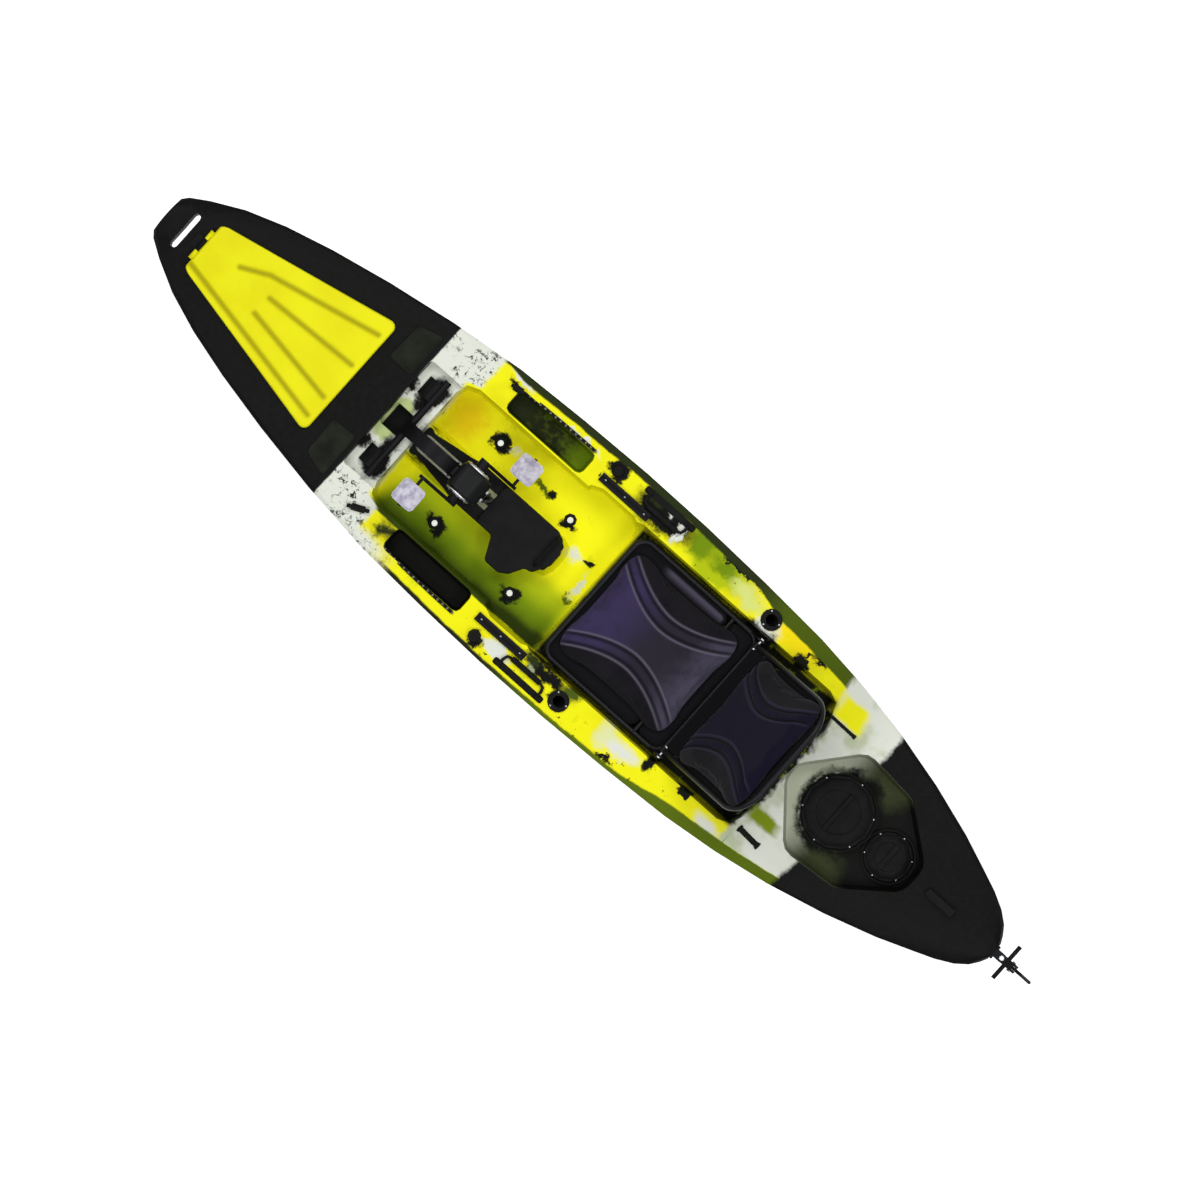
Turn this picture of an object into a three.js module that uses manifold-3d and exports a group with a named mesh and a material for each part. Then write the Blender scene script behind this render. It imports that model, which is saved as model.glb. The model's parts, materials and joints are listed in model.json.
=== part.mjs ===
// A pedal-drive sit-on-top fishing kayak, in millimetres.
// +X points to the bow, +Y to port and +Z up. z = 0 is the keel line and x = 0 is halfway along the hull.
import * as THREE from "three";
import { mergeVertices } from "three/addons/utils/BufferGeometryUtils.js";
import Module from "manifold-3d";

const wasm = await Module();
wasm.setup();

// Driving dimensions: the hull is as long as its zones, counted from the bow.
const noseLength = 165;
const bowHatchLength = 671;
const foredeckLength = 147;
const stepLength = 143;
const footwellLength = 779;
const seatWellLength = 905;
const rearLandLength = 30;
const tankWellLength = 535;
const sternLength = 375;
const hullBeam = 856;
const hullDepth = 300;
const skin = 5;
const seatGap = 0.3;

const hullLength =
  noseLength + bowHatchLength + foredeckLength + stepLength + footwellLength +
  seatWellLength + rearLandLength + tankWellLength + sternLength;
const bowX = hullLength / 2;
const sternX = -bowX;
const bowHatchFrontX = bowX - noseLength;
const bowHatchAftX = bowHatchFrontX - bowHatchLength;
const stepFrontX = bowHatchAftX - foredeckLength;
const footwellFrontX = stepFrontX - stepLength;
const footwellAftX = footwellFrontX - footwellLength;
const seatWellAftX = footwellAftX - seatWellLength;
const tankFrontX = seatWellAftX - rearLandLength;
const tankAftX = tankFrontX - tankWellLength;
const sides = [["port", 1], ["starboard", -1]];

// Finishes, by their colour, roughness and metalness.
const finish = {
  hull: { color: 0xd9dc1e, roughness: 0.42, metalness: 0 },
  hatch: { color: 0xe8e81c, roughness: 0.45, metalness: 0 },
  black: { color: 0x121312, roughness: 0.5, metalness: 0 },
  track: { color: 0x1c1f1b, roughness: 0.35, metalness: 0.8 },
  rubber: { color: 0x0c0c0c, roughness: 0.8, metalness: 0 },
  frame: { color: 0x1b1b1d, roughness: 0.3, metalness: 0.9 },
  fabric: { color: 0x2a2440, roughness: 0.9, metalness: 0 },
  mesh: { color: 0x151517, roughness: 0.95, metalness: 0 },
  silver: { color: 0xdadada, roughness: 0.3, metalness: 0.9 },
  steel: { color: 0xb9bcc0, roughness: 0.25, metalness: 1 },
  pedal: { color: 0xe4e2ea, roughness: 0.5, metalness: 0 },
};

const kayak = new THREE.Group();
const weldTolerance = 1e-4;
const overrun = 400;
const halfShare = 0.49;
const quarter = 90;
const up = new THREE.Vector3(0, 0, 1);
const forward = new THREE.Vector3(1, 0, 0);

// Sides of round shapes, from bolt heads up to hatches, and steps of corners that aren't the usual two.
const hexCount = 6;
const barCount = 8;
const spindleCount = 10;
const pinCount = 12;
const shaftCount = 14;
const roundCount = 16;
const chamferSteps = 1;
const fineSteps = 3;

// A manifold solid from a closed three.js geometry, turned the right way out.
function solidOf(geometry) {
  const bare = geometry.index ? geometry.toNonIndexed() : geometry.clone();
  for (const name of Object.keys(bare.attributes)) if (name !== "position") bare.deleteAttribute(name);
  const merged = mergeVertices(bare, weldTolerance);
  const vertProperties = merged.attributes.position.array;
  const corners = [];
  for (let i = 0; i < merged.index.count; i += 3) {
    const face = [0, 1, 2].map((j) => merged.index.getX(i + j));
    if (new Set(face).size === face.length) corners.push(face);
  }
  const build = (faces) => {
    const triVerts = new Uint32Array(faces.flat());
    return new wasm.Manifold(new wasm.Mesh({ numProp: 3, vertProperties, triVerts }));
  };
  const made = build(corners);
  return made.volume() >= 0 ? made : build(corners.map(([a, b, c]) => [a, c, b]));
}

function geometryOf(solid) {
  const { vertProperties, triVerts } = solid.getMesh();
  const geometry = new THREE.BufferGeometry();
  geometry.setAttribute("position", new THREE.BufferAttribute(vertProperties, 3));
  geometry.setIndex(new THREE.BufferAttribute(triVerts, 1));
  const faceted = geometry.toNonIndexed();
  faceted.computeVertexNormals();
  return faceted;
}

function cut(solid, ...cutters) {
  return cutters.reduce((left, cutter) => left.subtract(cutter), solid);
}

function joined(...solids) {
  return solids.reduce((all, next) => all.add(next));
}

function place(parent, name, solid, look) {
  const mesh = new THREE.Mesh(geometryOf(solid), new THREE.MeshStandardMaterial(look));
  mesh.name = name;
  parent.add(mesh);
  return mesh;
}

// Triangles that fill a flat ring of points, wound along the ring. Points too straight to be ears get a fan.
function filled(ring) {
  const normal = new THREE.Vector3();
  const first = ring[0];
  ring.forEach((p, i) => {
    const next = ring[(i + 1) % ring.length].clone().sub(first);
    normal.add(next.cross(p.clone().sub(first)).negate());
  });
  normal.normalize();
  const across = new THREE.Vector3().subVectors(ring[1], first).normalize();
  const up = new THREE.Vector3().crossVectors(normal, across);
  const flat = ring.map((p) => new THREE.Vector2(p.dot(across), p.dot(up)));
  const faces = THREE.ShapeUtils.triangulateShape(flat, []);
  const fan = ring.slice(2).map((_, i) => [0, i + 1, i + 2]);
  return faces.length === fan.length ? faces : fan;
}

// A closed skin through rings that hold equally many points. An open one has a flat cap at each end.
function loft(rings, endless = false) {
  const count = rings[0].length;
  const faces = [];
  const spans = endless ? rings.length : rings.length - 1;
  for (let r = 0; r < spans; r++)
    for (let i = 0; i < count; i++) {
      const near = r * count;
      const far = ((r + 1) % rings.length) * count;
      const next = (i + 1) % count;
      faces.push([near + i, near + next, far + next], [near + i, far + next, far + i]);
    }
  if (!endless) {
    const last = (rings.length - 1) * count;
    faces.push(...filled(rings[0]).map(([a, b, c]) => [a, c, b]));
    faces.push(...filled(rings.at(-1)).map((face) => face.map((i) => i + last)));
  }
  const geometry = new THREE.BufferGeometry().setFromPoints(rings.flat());
  geometry.setIndex(faces.flat());
  return solidOf(geometry);
}

// An outline with its corners rounded by arcs. A corner is [x, y] or [x, y, its own radius].
function rounded(corners, radius, arcSteps = 2) {
  const points = [];
  corners.forEach(([x, y, ownRadius], i) => {
    const corner = new THREE.Vector2(x, y);
    const towards = [-1, 1].map((step) => {
      const [nx, ny] = corners[(i + step + corners.length) % corners.length];
      return new THREE.Vector2(nx, ny).sub(corner);
    });
    const reach = Math.min(towards[0].length(), towards[1].length()) * halfShare;
    towards.forEach((way) => way.normalize());
    const halfAngle = Math.acos(THREE.MathUtils.clamp(towards[0].dot(towards[1]), -1, 1)) / 2;
    const r = Math.min(ownRadius ?? radius, reach * Math.tan(halfAngle));
    const centre = towards[0].clone().add(towards[1]).setLength(r / Math.sin(halfAngle)).add(corner);
    const [from, to] = towards.map((way) =>
      way.clone().multiplyScalar(r / Math.tan(halfAngle)).add(corner).sub(centre));
    const start = from.angle();
    let sweep = to.angle() - start;
    if (sweep > Math.PI) sweep -= 2 * Math.PI;
    if (sweep < -Math.PI) sweep += 2 * Math.PI;
    for (let s = 0; s <= arcSteps; s++) {
      const angle = start + (sweep * s) / arcSteps;
      points.push(new THREE.Vector2(centre.x + r * Math.cos(angle), centre.y + r * Math.sin(angle)));
    }
  });
  return THREE.ShapeUtils.isClockWise(points) ? points.reverse() : points;
}

// The outline moved outwards by a distance, or inwards by a negative one.
function grown(outline, distance) {
  return outline.map((p, i) => {
    const normals = [-1, 0].map((step) => {
      const a = outline[(i + step + outline.length) % outline.length];
      const b = outline[(i + step + 1 + outline.length) % outline.length];
      return new THREE.Vector2(b.y - a.y, a.x - b.x).normalize();
    });
    const bisector = normals[0].clone().add(normals[1]);
    return bisector.multiplyScalar(distance / (1 + normals[0].dot(normals[1]))).add(p);
  });
}

function ringAt(outline, z) {
  return outline.map((p) => new THREE.Vector3(p.x, p.y, z));
}

function prism(outline, low, high) {
  return loft([ringAt(outline, low), ringAt(outline, high)]);
}

function rectangle(x0, x1, y0, y1, radius, arcSteps) {
  return rounded([[x0, y0], [x1, y0], [x1, y1], [x0, y1]], radius, arcSteps);
}

function circle(x, y, radius, count) {
  const turn = (2 * Math.PI) / count;
  return Array.from({ length: count }, (_, i) =>
    new THREE.Vector2(x + radius * Math.cos(i * turn), y + radius * Math.sin(i * turn)));
}

function slab(x0, x1, y0, y1, z0, z1) {
  const box = new THREE.BoxGeometry(x1 - x0, y1 - y0, z1 - z0);
  return solidOf(box.translate((x0 + x1) / 2, (y0 + y1) / 2, (z0 + z1) / 2));
}

const standing = new THREE.Vector3(0, 1, 0);
function alongWay(geometry, from, to) {
  const [a, b] = [new THREE.Vector3(...from), new THREE.Vector3(...to)];
  const way = b.clone().sub(a).normalize();
  geometry.applyQuaternion(new THREE.Quaternion().setFromUnitVectors(standing, way));
  return geometry.translate(a.x, a.y, a.z);
}

// A round bar between two points.
function bar(from, to, radius, count, farRadius = radius) {
  const length = new THREE.Vector3(...from).distanceTo(new THREE.Vector3(...to));
  const geometry = new THREE.CylinderGeometry(farRadius, radius, length, count);
  return solidOf(alongWay(geometry.translate(0, length / 2, 0), from, to));
}

// A revolved piece. Its profile of [radius, distance] starts at one point and rises towards another.
// Where that is only a direction, it lies one axis step away.
const axisStep = 1;
function turned(profile, from, to, count) {
  const geometry = new THREE.LatheGeometry(profile.map(([r, h]) => new THREE.Vector2(r, h)), count);
  return solidOf(alongWay(geometry, from, to));
}

// An outline drawn in x and z, as thick as the span from y0 to y1.
function sidePlate(outline, y0, y1) {
  return loft([y0, y1].map((y) => outline.map((p) => new THREE.Vector3(p.x, y, p.y))));
}

// An outline drawn in y and z, as long as the span from x0 to x1.
function lengthwise(outline, x0, x1) {
  return loft([x0, x1].map((x) => outline.map((p) => new THREE.Vector3(x, p.x, p.y))));
}

// A path with its corners rounded. An endless one is rounded at its ends too.
function bent(corners, radius, endless = false, steps = 3) {
  const path = [];
  corners.forEach((corner, i) => {
    const before = corners[i - 1] ?? (endless ? corners.at(-1) : null);
    const after = corners[i + 1] ?? (endless ? corners[0] : null);
    if (!before || !after) return path.push(corner.clone());
    const [start, end] = [before, after].map((other) => {
      const way = other.clone().sub(corner);
      return way.setLength(Math.min(radius, way.length() * halfShare)).add(corner);
    });
    const curve = new THREE.QuadraticBezierCurve3(start, corner, end);
    return path.push(...curve.getPoints(steps));
  });
  return path;
}

// A round tube along a path that lies in the plane square to a given direction.
function tube(path, radius, planeNormal, count, endless = false) {
  const rings = path.map((point, i) => {
    const before = path[i - 1] ?? (endless ? path.at(-1) : point);
    const after = path[i + 1] ?? (endless ? path[0] : point);
    const tangent = after.clone().sub(before).normalize();
    const side = new THREE.Vector3().crossVectors(planeNormal, tangent);
    return circle(0, 0, radius, count).map((p) =>
      point.clone().addScaledVector(side, p.x).addScaledVector(planeNormal, p.y));
  });
  return loft(rings, endless);
}

function rise(x, from, to) {
  return THREE.MathUtils.clamp((x - from) / (to - from), 0, 1);
}

// The port corners of an outline, bow first, closed by their starboard reflections.
function mirrored(corners) {
  return [...corners, ...[...corners].reverse().map(([x, y]) => [x, -y])];
}

// Hull: one rotomoulded polyethylene shell, hollow inside, whose deck is sunk into wells.
const bowSheerRise = 85;
const sternSheerRise = 40;
const bowKeelRise = 295;
const sternKeelRise = 235;
const gunwaleRadius = 14;
const foredeckCrown = 26;
const bowKeelPower = 5;
const sternKeelPower = 4;
const sheerBendX = footwellFrontX - footwellLength / 2;
const planShares = [
  [0, 0.11], [0.0016, 0.18], [0.0115, 0.25], [0.0439, 0.411], [0.09, 0.56], [0.15, 0.694], [0.229, 0.828],
  [0.32, 0.938], [0.413, 0.982], [0.506, 1], [0.598, 0.982], [0.69, 0.942], [0.76, 0.869], [0.83, 0.749],
  [0.898, 0.58], [0.9446, 0.427], [0.9677, 0.344], [0.986, 0.25], [0.995, 0.16], [1, 0.08],
];
const planCurve = new THREE.SplineCurve(
  planShares.map(([length, breadth]) =>
    new THREE.Vector2(bowX - length * hullLength, (breadth * hullBeam) / 2)),
);
const stationCount = 24;
const stations = planCurve.getPoints(stationCount);

function sheerAt(x) {
  const bow = bowSheerRise * rise(x, sheerBendX, bowX) ** 2;
  const stern = sternSheerRise * rise(x, seatWellAftX, sternX) ** 2;
  return hullDepth + bow + stern;
}

function keelAt(x) {
  const bow = bowKeelRise * rise(x, footwellFrontX, bowX) ** bowKeelPower;
  const stern = sternKeelRise * rise(x, seatWellAftX, sternX) ** sternKeelPower;
  return bow + stern;
}

// The height of the deck's flat middle, on the straight between two stations.
function deckAt(x) {
  const next = Math.max(1, stations.findIndex((station) => station.x <= x));
  const [a, b] = [stations[next - 1], stations[next]];
  const top = (station) => Math.max(...hullSection(station, 0).map((p) => p.z));
  return THREE.MathUtils.mapLinear(x, a.x, b.x, top(a), top(b));
}

function crownAt(x) {
  return foredeckCrown * (rise(x, footwellFrontX, bowHatchAftX) + rise(x, tankFrontX, tankAftX));
}

const deckZ = hullDepth + gunwaleRadius / 2;
const bilgeSteps = 6;
const keelFlatShare = 0.1;
const deckShares = [0.5, -0.5];
const midFullness = 3.6;
const endFullness = 2.1;
// One cross-section of the hull, drawn smaller by an inset for its inner face.
function hullSection({ x, y: breadth }, inset) {
  const half = breadth - inset;
  const keel = keelAt(x) + inset;
  const sheer = Math.max(sheerAt(x) - inset, keel + gunwaleRadius);
  const ends = Math.max(rise(x, footwellFrontX, bowX), rise(x, seatWellAftX, sternX));
  const power = 2 / THREE.MathUtils.lerp(midFullness, endFullness, ends);
  const edge = Math.min(gunwaleRadius, half * halfShare);
  const across = (y) => sheer + edge / 2 + crownAt(x) * (1 - (y / half) ** 2);
  const right = [[half * keelFlatShare, keel]];
  for (let i = 1; i <= bilgeSteps; i++) {
    const angle = (Math.PI / 2) * (i / bilgeSteps);
    const fall = Math.abs(Math.cos(angle)) ** power;
    right.push([half * Math.sin(angle) ** power, sheer - (sheer - keel) * fall]);
  }
  right.at(-1)[1] = sheer;
  right.push([half - edge, across(half - edge)]);
  const deck = deckShares.map((share) => share * (half - edge));
  const left = [...right].reverse().map(([y, z]) => [-y, z]);
  const ring = [...right, ...deck.map((y) => [y, across(y)]), ...left];
  return ring.map(([y, z]) => new THREE.Vector3(x, y, z));
}

const outerHull = loft(stations.map((station) => hullSection(station, 0)));
const tipStations = 2;
const innerStations = stations.slice(tipStations, -tipStations).filter((_, i) => i % 2 === 0);
const innerHull = loft(innerStations.map((station) => hullSection(station, skin)));

const layerFoot = hullDepth * halfShare;
// A layer that follows the deck inside an outline, between two heights above it.
function onDeck(outline, low, high) {
  const upper = prism(outline, layerFoot, overrun * 2).intersect(outerHull.translate(0, 0, high));
  return upper.subtract(outerHull.translate(0, 0, low));
}

// A well whose walls lean outwards from its floor up through the deck.
const wellDraft = 12;
function well(outline, floor, spread) {
  const top = grown(outline, spread + wellDraft);
  return loft([
    ringAt(grown(outline, spread), floor - spread), ringAt(top, deckZ), ringAt(top, overrun + deckZ)]);
}

// Cockpit: a footwell with a raised centre console, the higher seat well behind it and a ledge ahead of it.
const footwellFloor = 95;
const seatWellFloor = 150;
const footwellHalf = 250;
const seatWellHalf = 278;
const wellCorner = 50;
const gearTrackLength = 216;
const gearTrackBack = 4;
const gearTrackX = footwellAftX + gearTrackBack + gearTrackLength / 2;
const flareFrontX = gearTrackX + gearTrackLength / 2 + skin * 2;
const footwell = rectangle(footwellAftX, footwellFrontX - wellDraft, -footwellHalf, footwellHalf, wellCorner);
const flare = rectangle(footwellAftX, flareFrontX, -seatWellHalf, seatWellHalf, wellCorner);
const seatWell = rectangle(
  seatWellAftX + wellDraft, footwellAftX + wellCorner, -seatWellHalf, seatWellHalf, wellCorner);

const slotLength = 405;
const slotHalf = 34;
const slotFrontX = footwellFrontX - wellDraft - skin;
const slotAftX = slotFrontX - slotLength;
const slot = rectangle(slotAftX, slotFrontX, -slotHalf, slotHalf, slotHalf / 2);
const consoleTop = 190;
const consoleHalf = 56;
const consoleBack = 148;
const consoleAftX = footwellAftX + consoleBack;
const consoleDraft = 22;
function console_(inset) {
  const top = rectangle(consoleAftX, footwellFrontX + overrun, -consoleHalf, consoleHalf, consoleHalf / 2);
  const foot = grown(top, consoleDraft - inset);
  return loft([ringAt(foot, 0), ringAt(foot, footwellFloor), ringAt(grown(top, -inset), consoleTop - inset)]);
}

const ledgeZ = 262;
const ledgeHalf = 228;
const ledge = rectangle(
  footwellFrontX - wellDraft * 2, stepFrontX - wellDraft, -ledgeHalf, ledgeHalf, wellDraft);
const latchWellLength = 78;
const latchWellHalf = 46;
const latchWellDepth = 55;
const latchWellFore = 52;
const latchWellAftX = footwellFrontX + latchWellFore;
const latchWell = rectangle(
  latchWellAftX, latchWellAftX + latchWellLength, -latchWellHalf, latchWellHalf, wellDraft);

// Side pockets between the footwell and the gunwale.
const pocketFloor = 205;
const pocketLength = 320;
const pocketBack = 172;
const pocketFrontX = footwellFrontX - pocketBack;
const pocketInner = 280;
const pocketOuter = 348;
function pocket(side) {
  const [near, far] = [pocketInner * side, pocketOuter * side].sort((a, b) => a - b);
  return rectangle(pocketFrontX - pocketLength, pocketFrontX, near, far, wellDraft);
}

// Tank well: a D-shaped recess behind the seat, with a raised seat for each of its round hatches.
const tankFloor = 205;
const tankShares = [[0, 0.065], [0.285, 0.486], [0.67, 0.444], [1, 0.12]];
const tankCorner = 55;
const tankHalfPlan = tankShares.map(([along, across]) =>
  [tankFrontX - along * tankWellLength, across * hullBeam / 2]);
const tankWell = rounded(mirrored(tankHalfPlan), tankCorner);

// The two round hatches share the well's length. Each has a ring, a lid set in from it and an opening
// under both.
const hatchAftShare = 0.189;
const hatchRingShares = [0.243, 0.1645];
const hatchRims = [12, 10];
const hatchLands = [32, 26];
const hatchSeatRises = [45, 17];
const hatchSpace = 11;
const hatchSeatRim = 8;
const hatches = hatchRingShares.map((share, i) => {
  const ring = share * tankWellLength;
  const [lid, opening] = [ring - hatchRims[i], ring - hatchLands[i]];
  return { ring, lid, opening, seatZ: tankFloor + hatchSeatRises[i] };
});
hatches[1].x = tankAftX + hatchAftShare * tankWellLength;
hatches[0].x = hatches[1].x + hatches[1].ring + hatchSpace + hatches[0].ring;

// Scuppers drain the footwell through the hull. A place is a share of its length and one of its half-breadth.
const scupperRadius = 14;
const scupperShares = [[0.2914, -0.696], [0.3081, 0.72], [0.7433, -0.544], [0.7574, 0.752]];
const scuppers = scupperShares.map(([along, breadth]) =>
  ({ x: footwellFrontX - along * footwellLength, y: breadth * footwellHalf }));
const scupperCount = 8;

// Flush rod holders lean aft through the side decks.
const rodHolderRadius = 24;
const rodHolderDepth = 170;
const rodHolderWall = 3;
const rodHolderTilt = 22;
const rodHolderLean = THREE.MathUtils.degToRad(rodHolderTilt);
const rodHolderRim = 38;
const rodHolderShares = [["port", 0.199, 0.818], ["starboard", 0.5923, -0.785]];
const rodHolders = rodHolderShares.map(([side, along, breadth]) =>
  ({ side, x: footwellAftX - along * seatWellLength, y: (breadth * hullBeam) / 2 }));
function rodHolderBore({ x, y }, radius, low) {
  const at = (h) => [x - h * Math.sin(rodHolderLean), y, deckZ + h * Math.cos(rodHolderLean)];
  return bar(at(-low), at(rodHolderDepth), radius, roundCount / 2);
}

// Carry slot moulded through the bow, ahead of the bow hatch.
const carrySlotBack = 72;
const carrySlotWidth = 26;
const carrySlotHalf = 72;
const carrySlot = rectangle(
  bowX - carrySlotBack - carrySlotWidth, bowX - carrySlotBack, -carrySlotHalf, carrySlotHalf,
  carrySlotWidth / 2);

// Bow hatch: its opening has a raised coaming that the seal lies on and the lid closes over.
const bowHatchShares = [[0, 0.233], [1, 0.568]];
const hatchCorner = 46;
const hatchPlan = mirrored(bowHatchShares.map(([along, across]) =>
  [bowHatchFrontX - along * bowHatchLength, across * hullBeam / 2]));
const hatchInnerCorner = 18;
function hatchOutline(inset) {
  const corners = grown(hatchPlan.map(([x, y]) => new THREE.Vector2(x, y)), -inset);
  return rounded(corners.map((p) => [p.x, p.y]), Math.max(hatchCorner - inset, hatchInnerCorner));
}
const hatchMargin = 55;
const coamingWidth = 14;
const coamingHeight = 10;
const hatchOpening = hatchOutline(hatchMargin);
const openingFloorShare = 0.85;
const openingFloor = hullDepth * openingFloorShare;

const hatchSeats = hatches.map(({ x, ring, seatZ }) =>
  prism(circle(x, 0, ring + hatchSeatRim, roundCount), tankFloor - skin * 2, seatZ));
const ledgeCut = prism(ledge, ledgeZ, overrun + deckZ);
const latchCut = prism(latchWell, ledgeZ - latchWellDepth, ledgeZ + skin);
const cockpit = (spread) => joined(
  cut(joined(well(footwell, footwellFloor, spread), well(flare, footwellFloor, spread)), console_(spread)),
  well(seatWell, seatWellFloor, spread));
const pockets = (spread) => sides.map(([, side]) => well(pocket(side), pocketFloor, spread));

function hollow() {
  const seats = hatches.map(({ x, ring, seatZ }) =>
    prism(circle(x, 0, ring + hatchSeatRim - skin, roundCount), tankFloor - skin * 2, seatZ - skin));
  return cut(
    innerHull,
    cockpit(skin),
    ...pockets(skin),
    prism(grown(ledge, skin), ledgeZ - skin, overrun + deckZ),
    prism(grown(latchWell, skin), ledgeZ - latchWellDepth - skin, ledgeZ),
    prism(grown(slot, skin), -overrun, overrun),
    cut(well(tankWell, tankFloor, skin), ...seats),
    prism(grown(carrySlot, skin), 0, overrun * 2),
    ...scuppers.map(({ x, y }) => prism(circle(x, y, scupperRadius + skin, scupperCount), -overrun, overrun)),
  );
}

const hull = cut(
  cut(outerHull, hollow()).add(onDeck(hatchOutline(hatchMargin - coamingWidth), -skin, coamingHeight)),
  cockpit(0),
  ...pockets(0),
  ledgeCut,
  latchCut,
  prism(slot, -overrun, overrun),
  cut(well(tankWell, tankFloor, 0), ...hatchSeats),
  prism(carrySlot, 0, overrun * 2),
  prism(hatchOpening, openingFloor, overrun * 2),
  ...hatches.map(({ x, opening, seatZ }) =>
    prism(circle(x, 0, opening, roundCount), seatZ - skin * 2, seatZ + skin)),
  ...scuppers.map(({ x, y }) => prism(circle(x, y, scupperRadius, scupperCount), -overrun, overrun)),
  ...rodHolders.map((holder) => rodHolderBore(holder, rodHolderRadius + seatGap, skin * 4)),
);
place(kayak, "hull", hull, finish.hull);

// Bow hatch: seal, lid with its skirt and pressed ribs, and the hinge at its fore edge.
const sealHeight = 4;
const sealWidth = 9;
const lidThickness = 8;
const lidSkirt = 9;
const panelMargin = 34;
const panelDepth = 4;
const ribHalf = 5;
const ribGapShare = 0.16;
const sealLow = coamingHeight + seatGap;
const lidLow = sealLow + sealHeight + seatGap;
const lidTop = lidLow + lidThickness;
place(kayak, "bow_hatch_seal", cut(
  onDeck(hatchOutline(hatchMargin - coamingWidth + 2 * seatGap), sealLow, sealLow + sealHeight),
  prism(hatchOutline(hatchMargin - coamingWidth + sealWidth), 0, overrun * 2)), finish.rubber);

const hingeRadius = 7;
const hingePinRadius = 3;
const hingeSpan = 60;
const hingeLeaf = 34;
const hingeGapShare = 1.5;
const hingeX = bowHatchFrontX + hingeRadius + hingeGapShare * seatGap;
const hingeRise = 13;
const hingeZ = deckAt(hingeX) + hingeRise;
const hingeParts = 2.4;
const knuckle = hingeSpan / hingeParts;
const lidSpans = [[-hingeSpan, -knuckle], [knuckle, hingeSpan]];
const leafHalf = knuckle - seatGap;
const across = (y0, y1, x, z, radius, count) => bar([x, y0, z], [x, y1, z], radius, count);

// Three long ribs fan out over the lid from its narrow end.
const ribShares = [[0.1, -0.08, -0.38], [0.1, 0, 0], [0.1, 0.08, 0.38]];
const ribs = ribShares.map(([start, near, far]) => {
  const x0 = bowHatchFrontX - (start + ribGapShare) * bowHatchLength;
  const x1 = bowHatchAftX + panelMargin + ribHalf * 2;
  const [y0, y1] = [near, far].map((share) => share * hullBeam / 2);
  const corners = [[x1, y1 - ribHalf], [x0, y0 - ribHalf], [x0, y0 + ribHalf], [x1, y1 + ribHalf]];
  return corners.reverse().map(([x, y]) => new THREE.Vector2(x, y));
});
const lidKnuckles = lidSpans.map(([y0, y1]) => joined(
  across(y0, y1, hingeX, hingeZ, hingeRadius, pinCount),
  slab(bowHatchFrontX - lidSkirt, hingeX, y0, y1,
    hingeZ - hingeRadius * halfShare, hingeZ + hingeRadius * halfShare)));
const lidPlate = cut(
  onDeck(hatchOutline(0), seatGap * 2, lidTop),
  onDeck(hatchOutline(lidSkirt), -skin, lidLow),
  cut(
    onDeck(hatchOutline(panelMargin), lidTop - panelDepth, lidTop + skin),
    ...ribs.map((rib) => prism(rib, 0, overrun * 2)),
  ),
);
place(kayak, "bow_hatch_lid", cut(
  lidPlate.add(joined(...lidKnuckles)),
  across(-overrun, overrun, hingeX, hingeZ, hingePinRadius + seatGap, pinCount),
  slab(bowHatchFrontX - seatGap, hingeX + hingeRadius * 2, -knuckle, knuckle,
    hingeZ - hingeRise, hingeZ + hingeRise),
), finish.hatch);
const leaf = onDeck(
  rectangle(hingeX - hingeRadius, hingeX + hingeLeaf, -leafHalf, leafHalf, hingeRadius), seatGap, skin);
place(kayak, "bow_hatch_hinge", cut(
  joined(
    leaf,
    across(-leafHalf, leafHalf, hingeX, hingeZ, hingeRadius, pinCount),
    slab(hingeX, hingeX + hingeRadius, -leafHalf, leafHalf, hingeZ - hingeRise + skin / 2, hingeZ),
  ),
  across(-overrun, overrun, hingeX, hingeZ, hingePinRadius + seatGap, pinCount),
), finish.black);
place(kayak, "bow_hatch_hinge_pin",
  across(-hingeSpan, hingeSpan, hingeX, hingeZ, hingePinRadius, pinCount), finish.steel);

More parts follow.
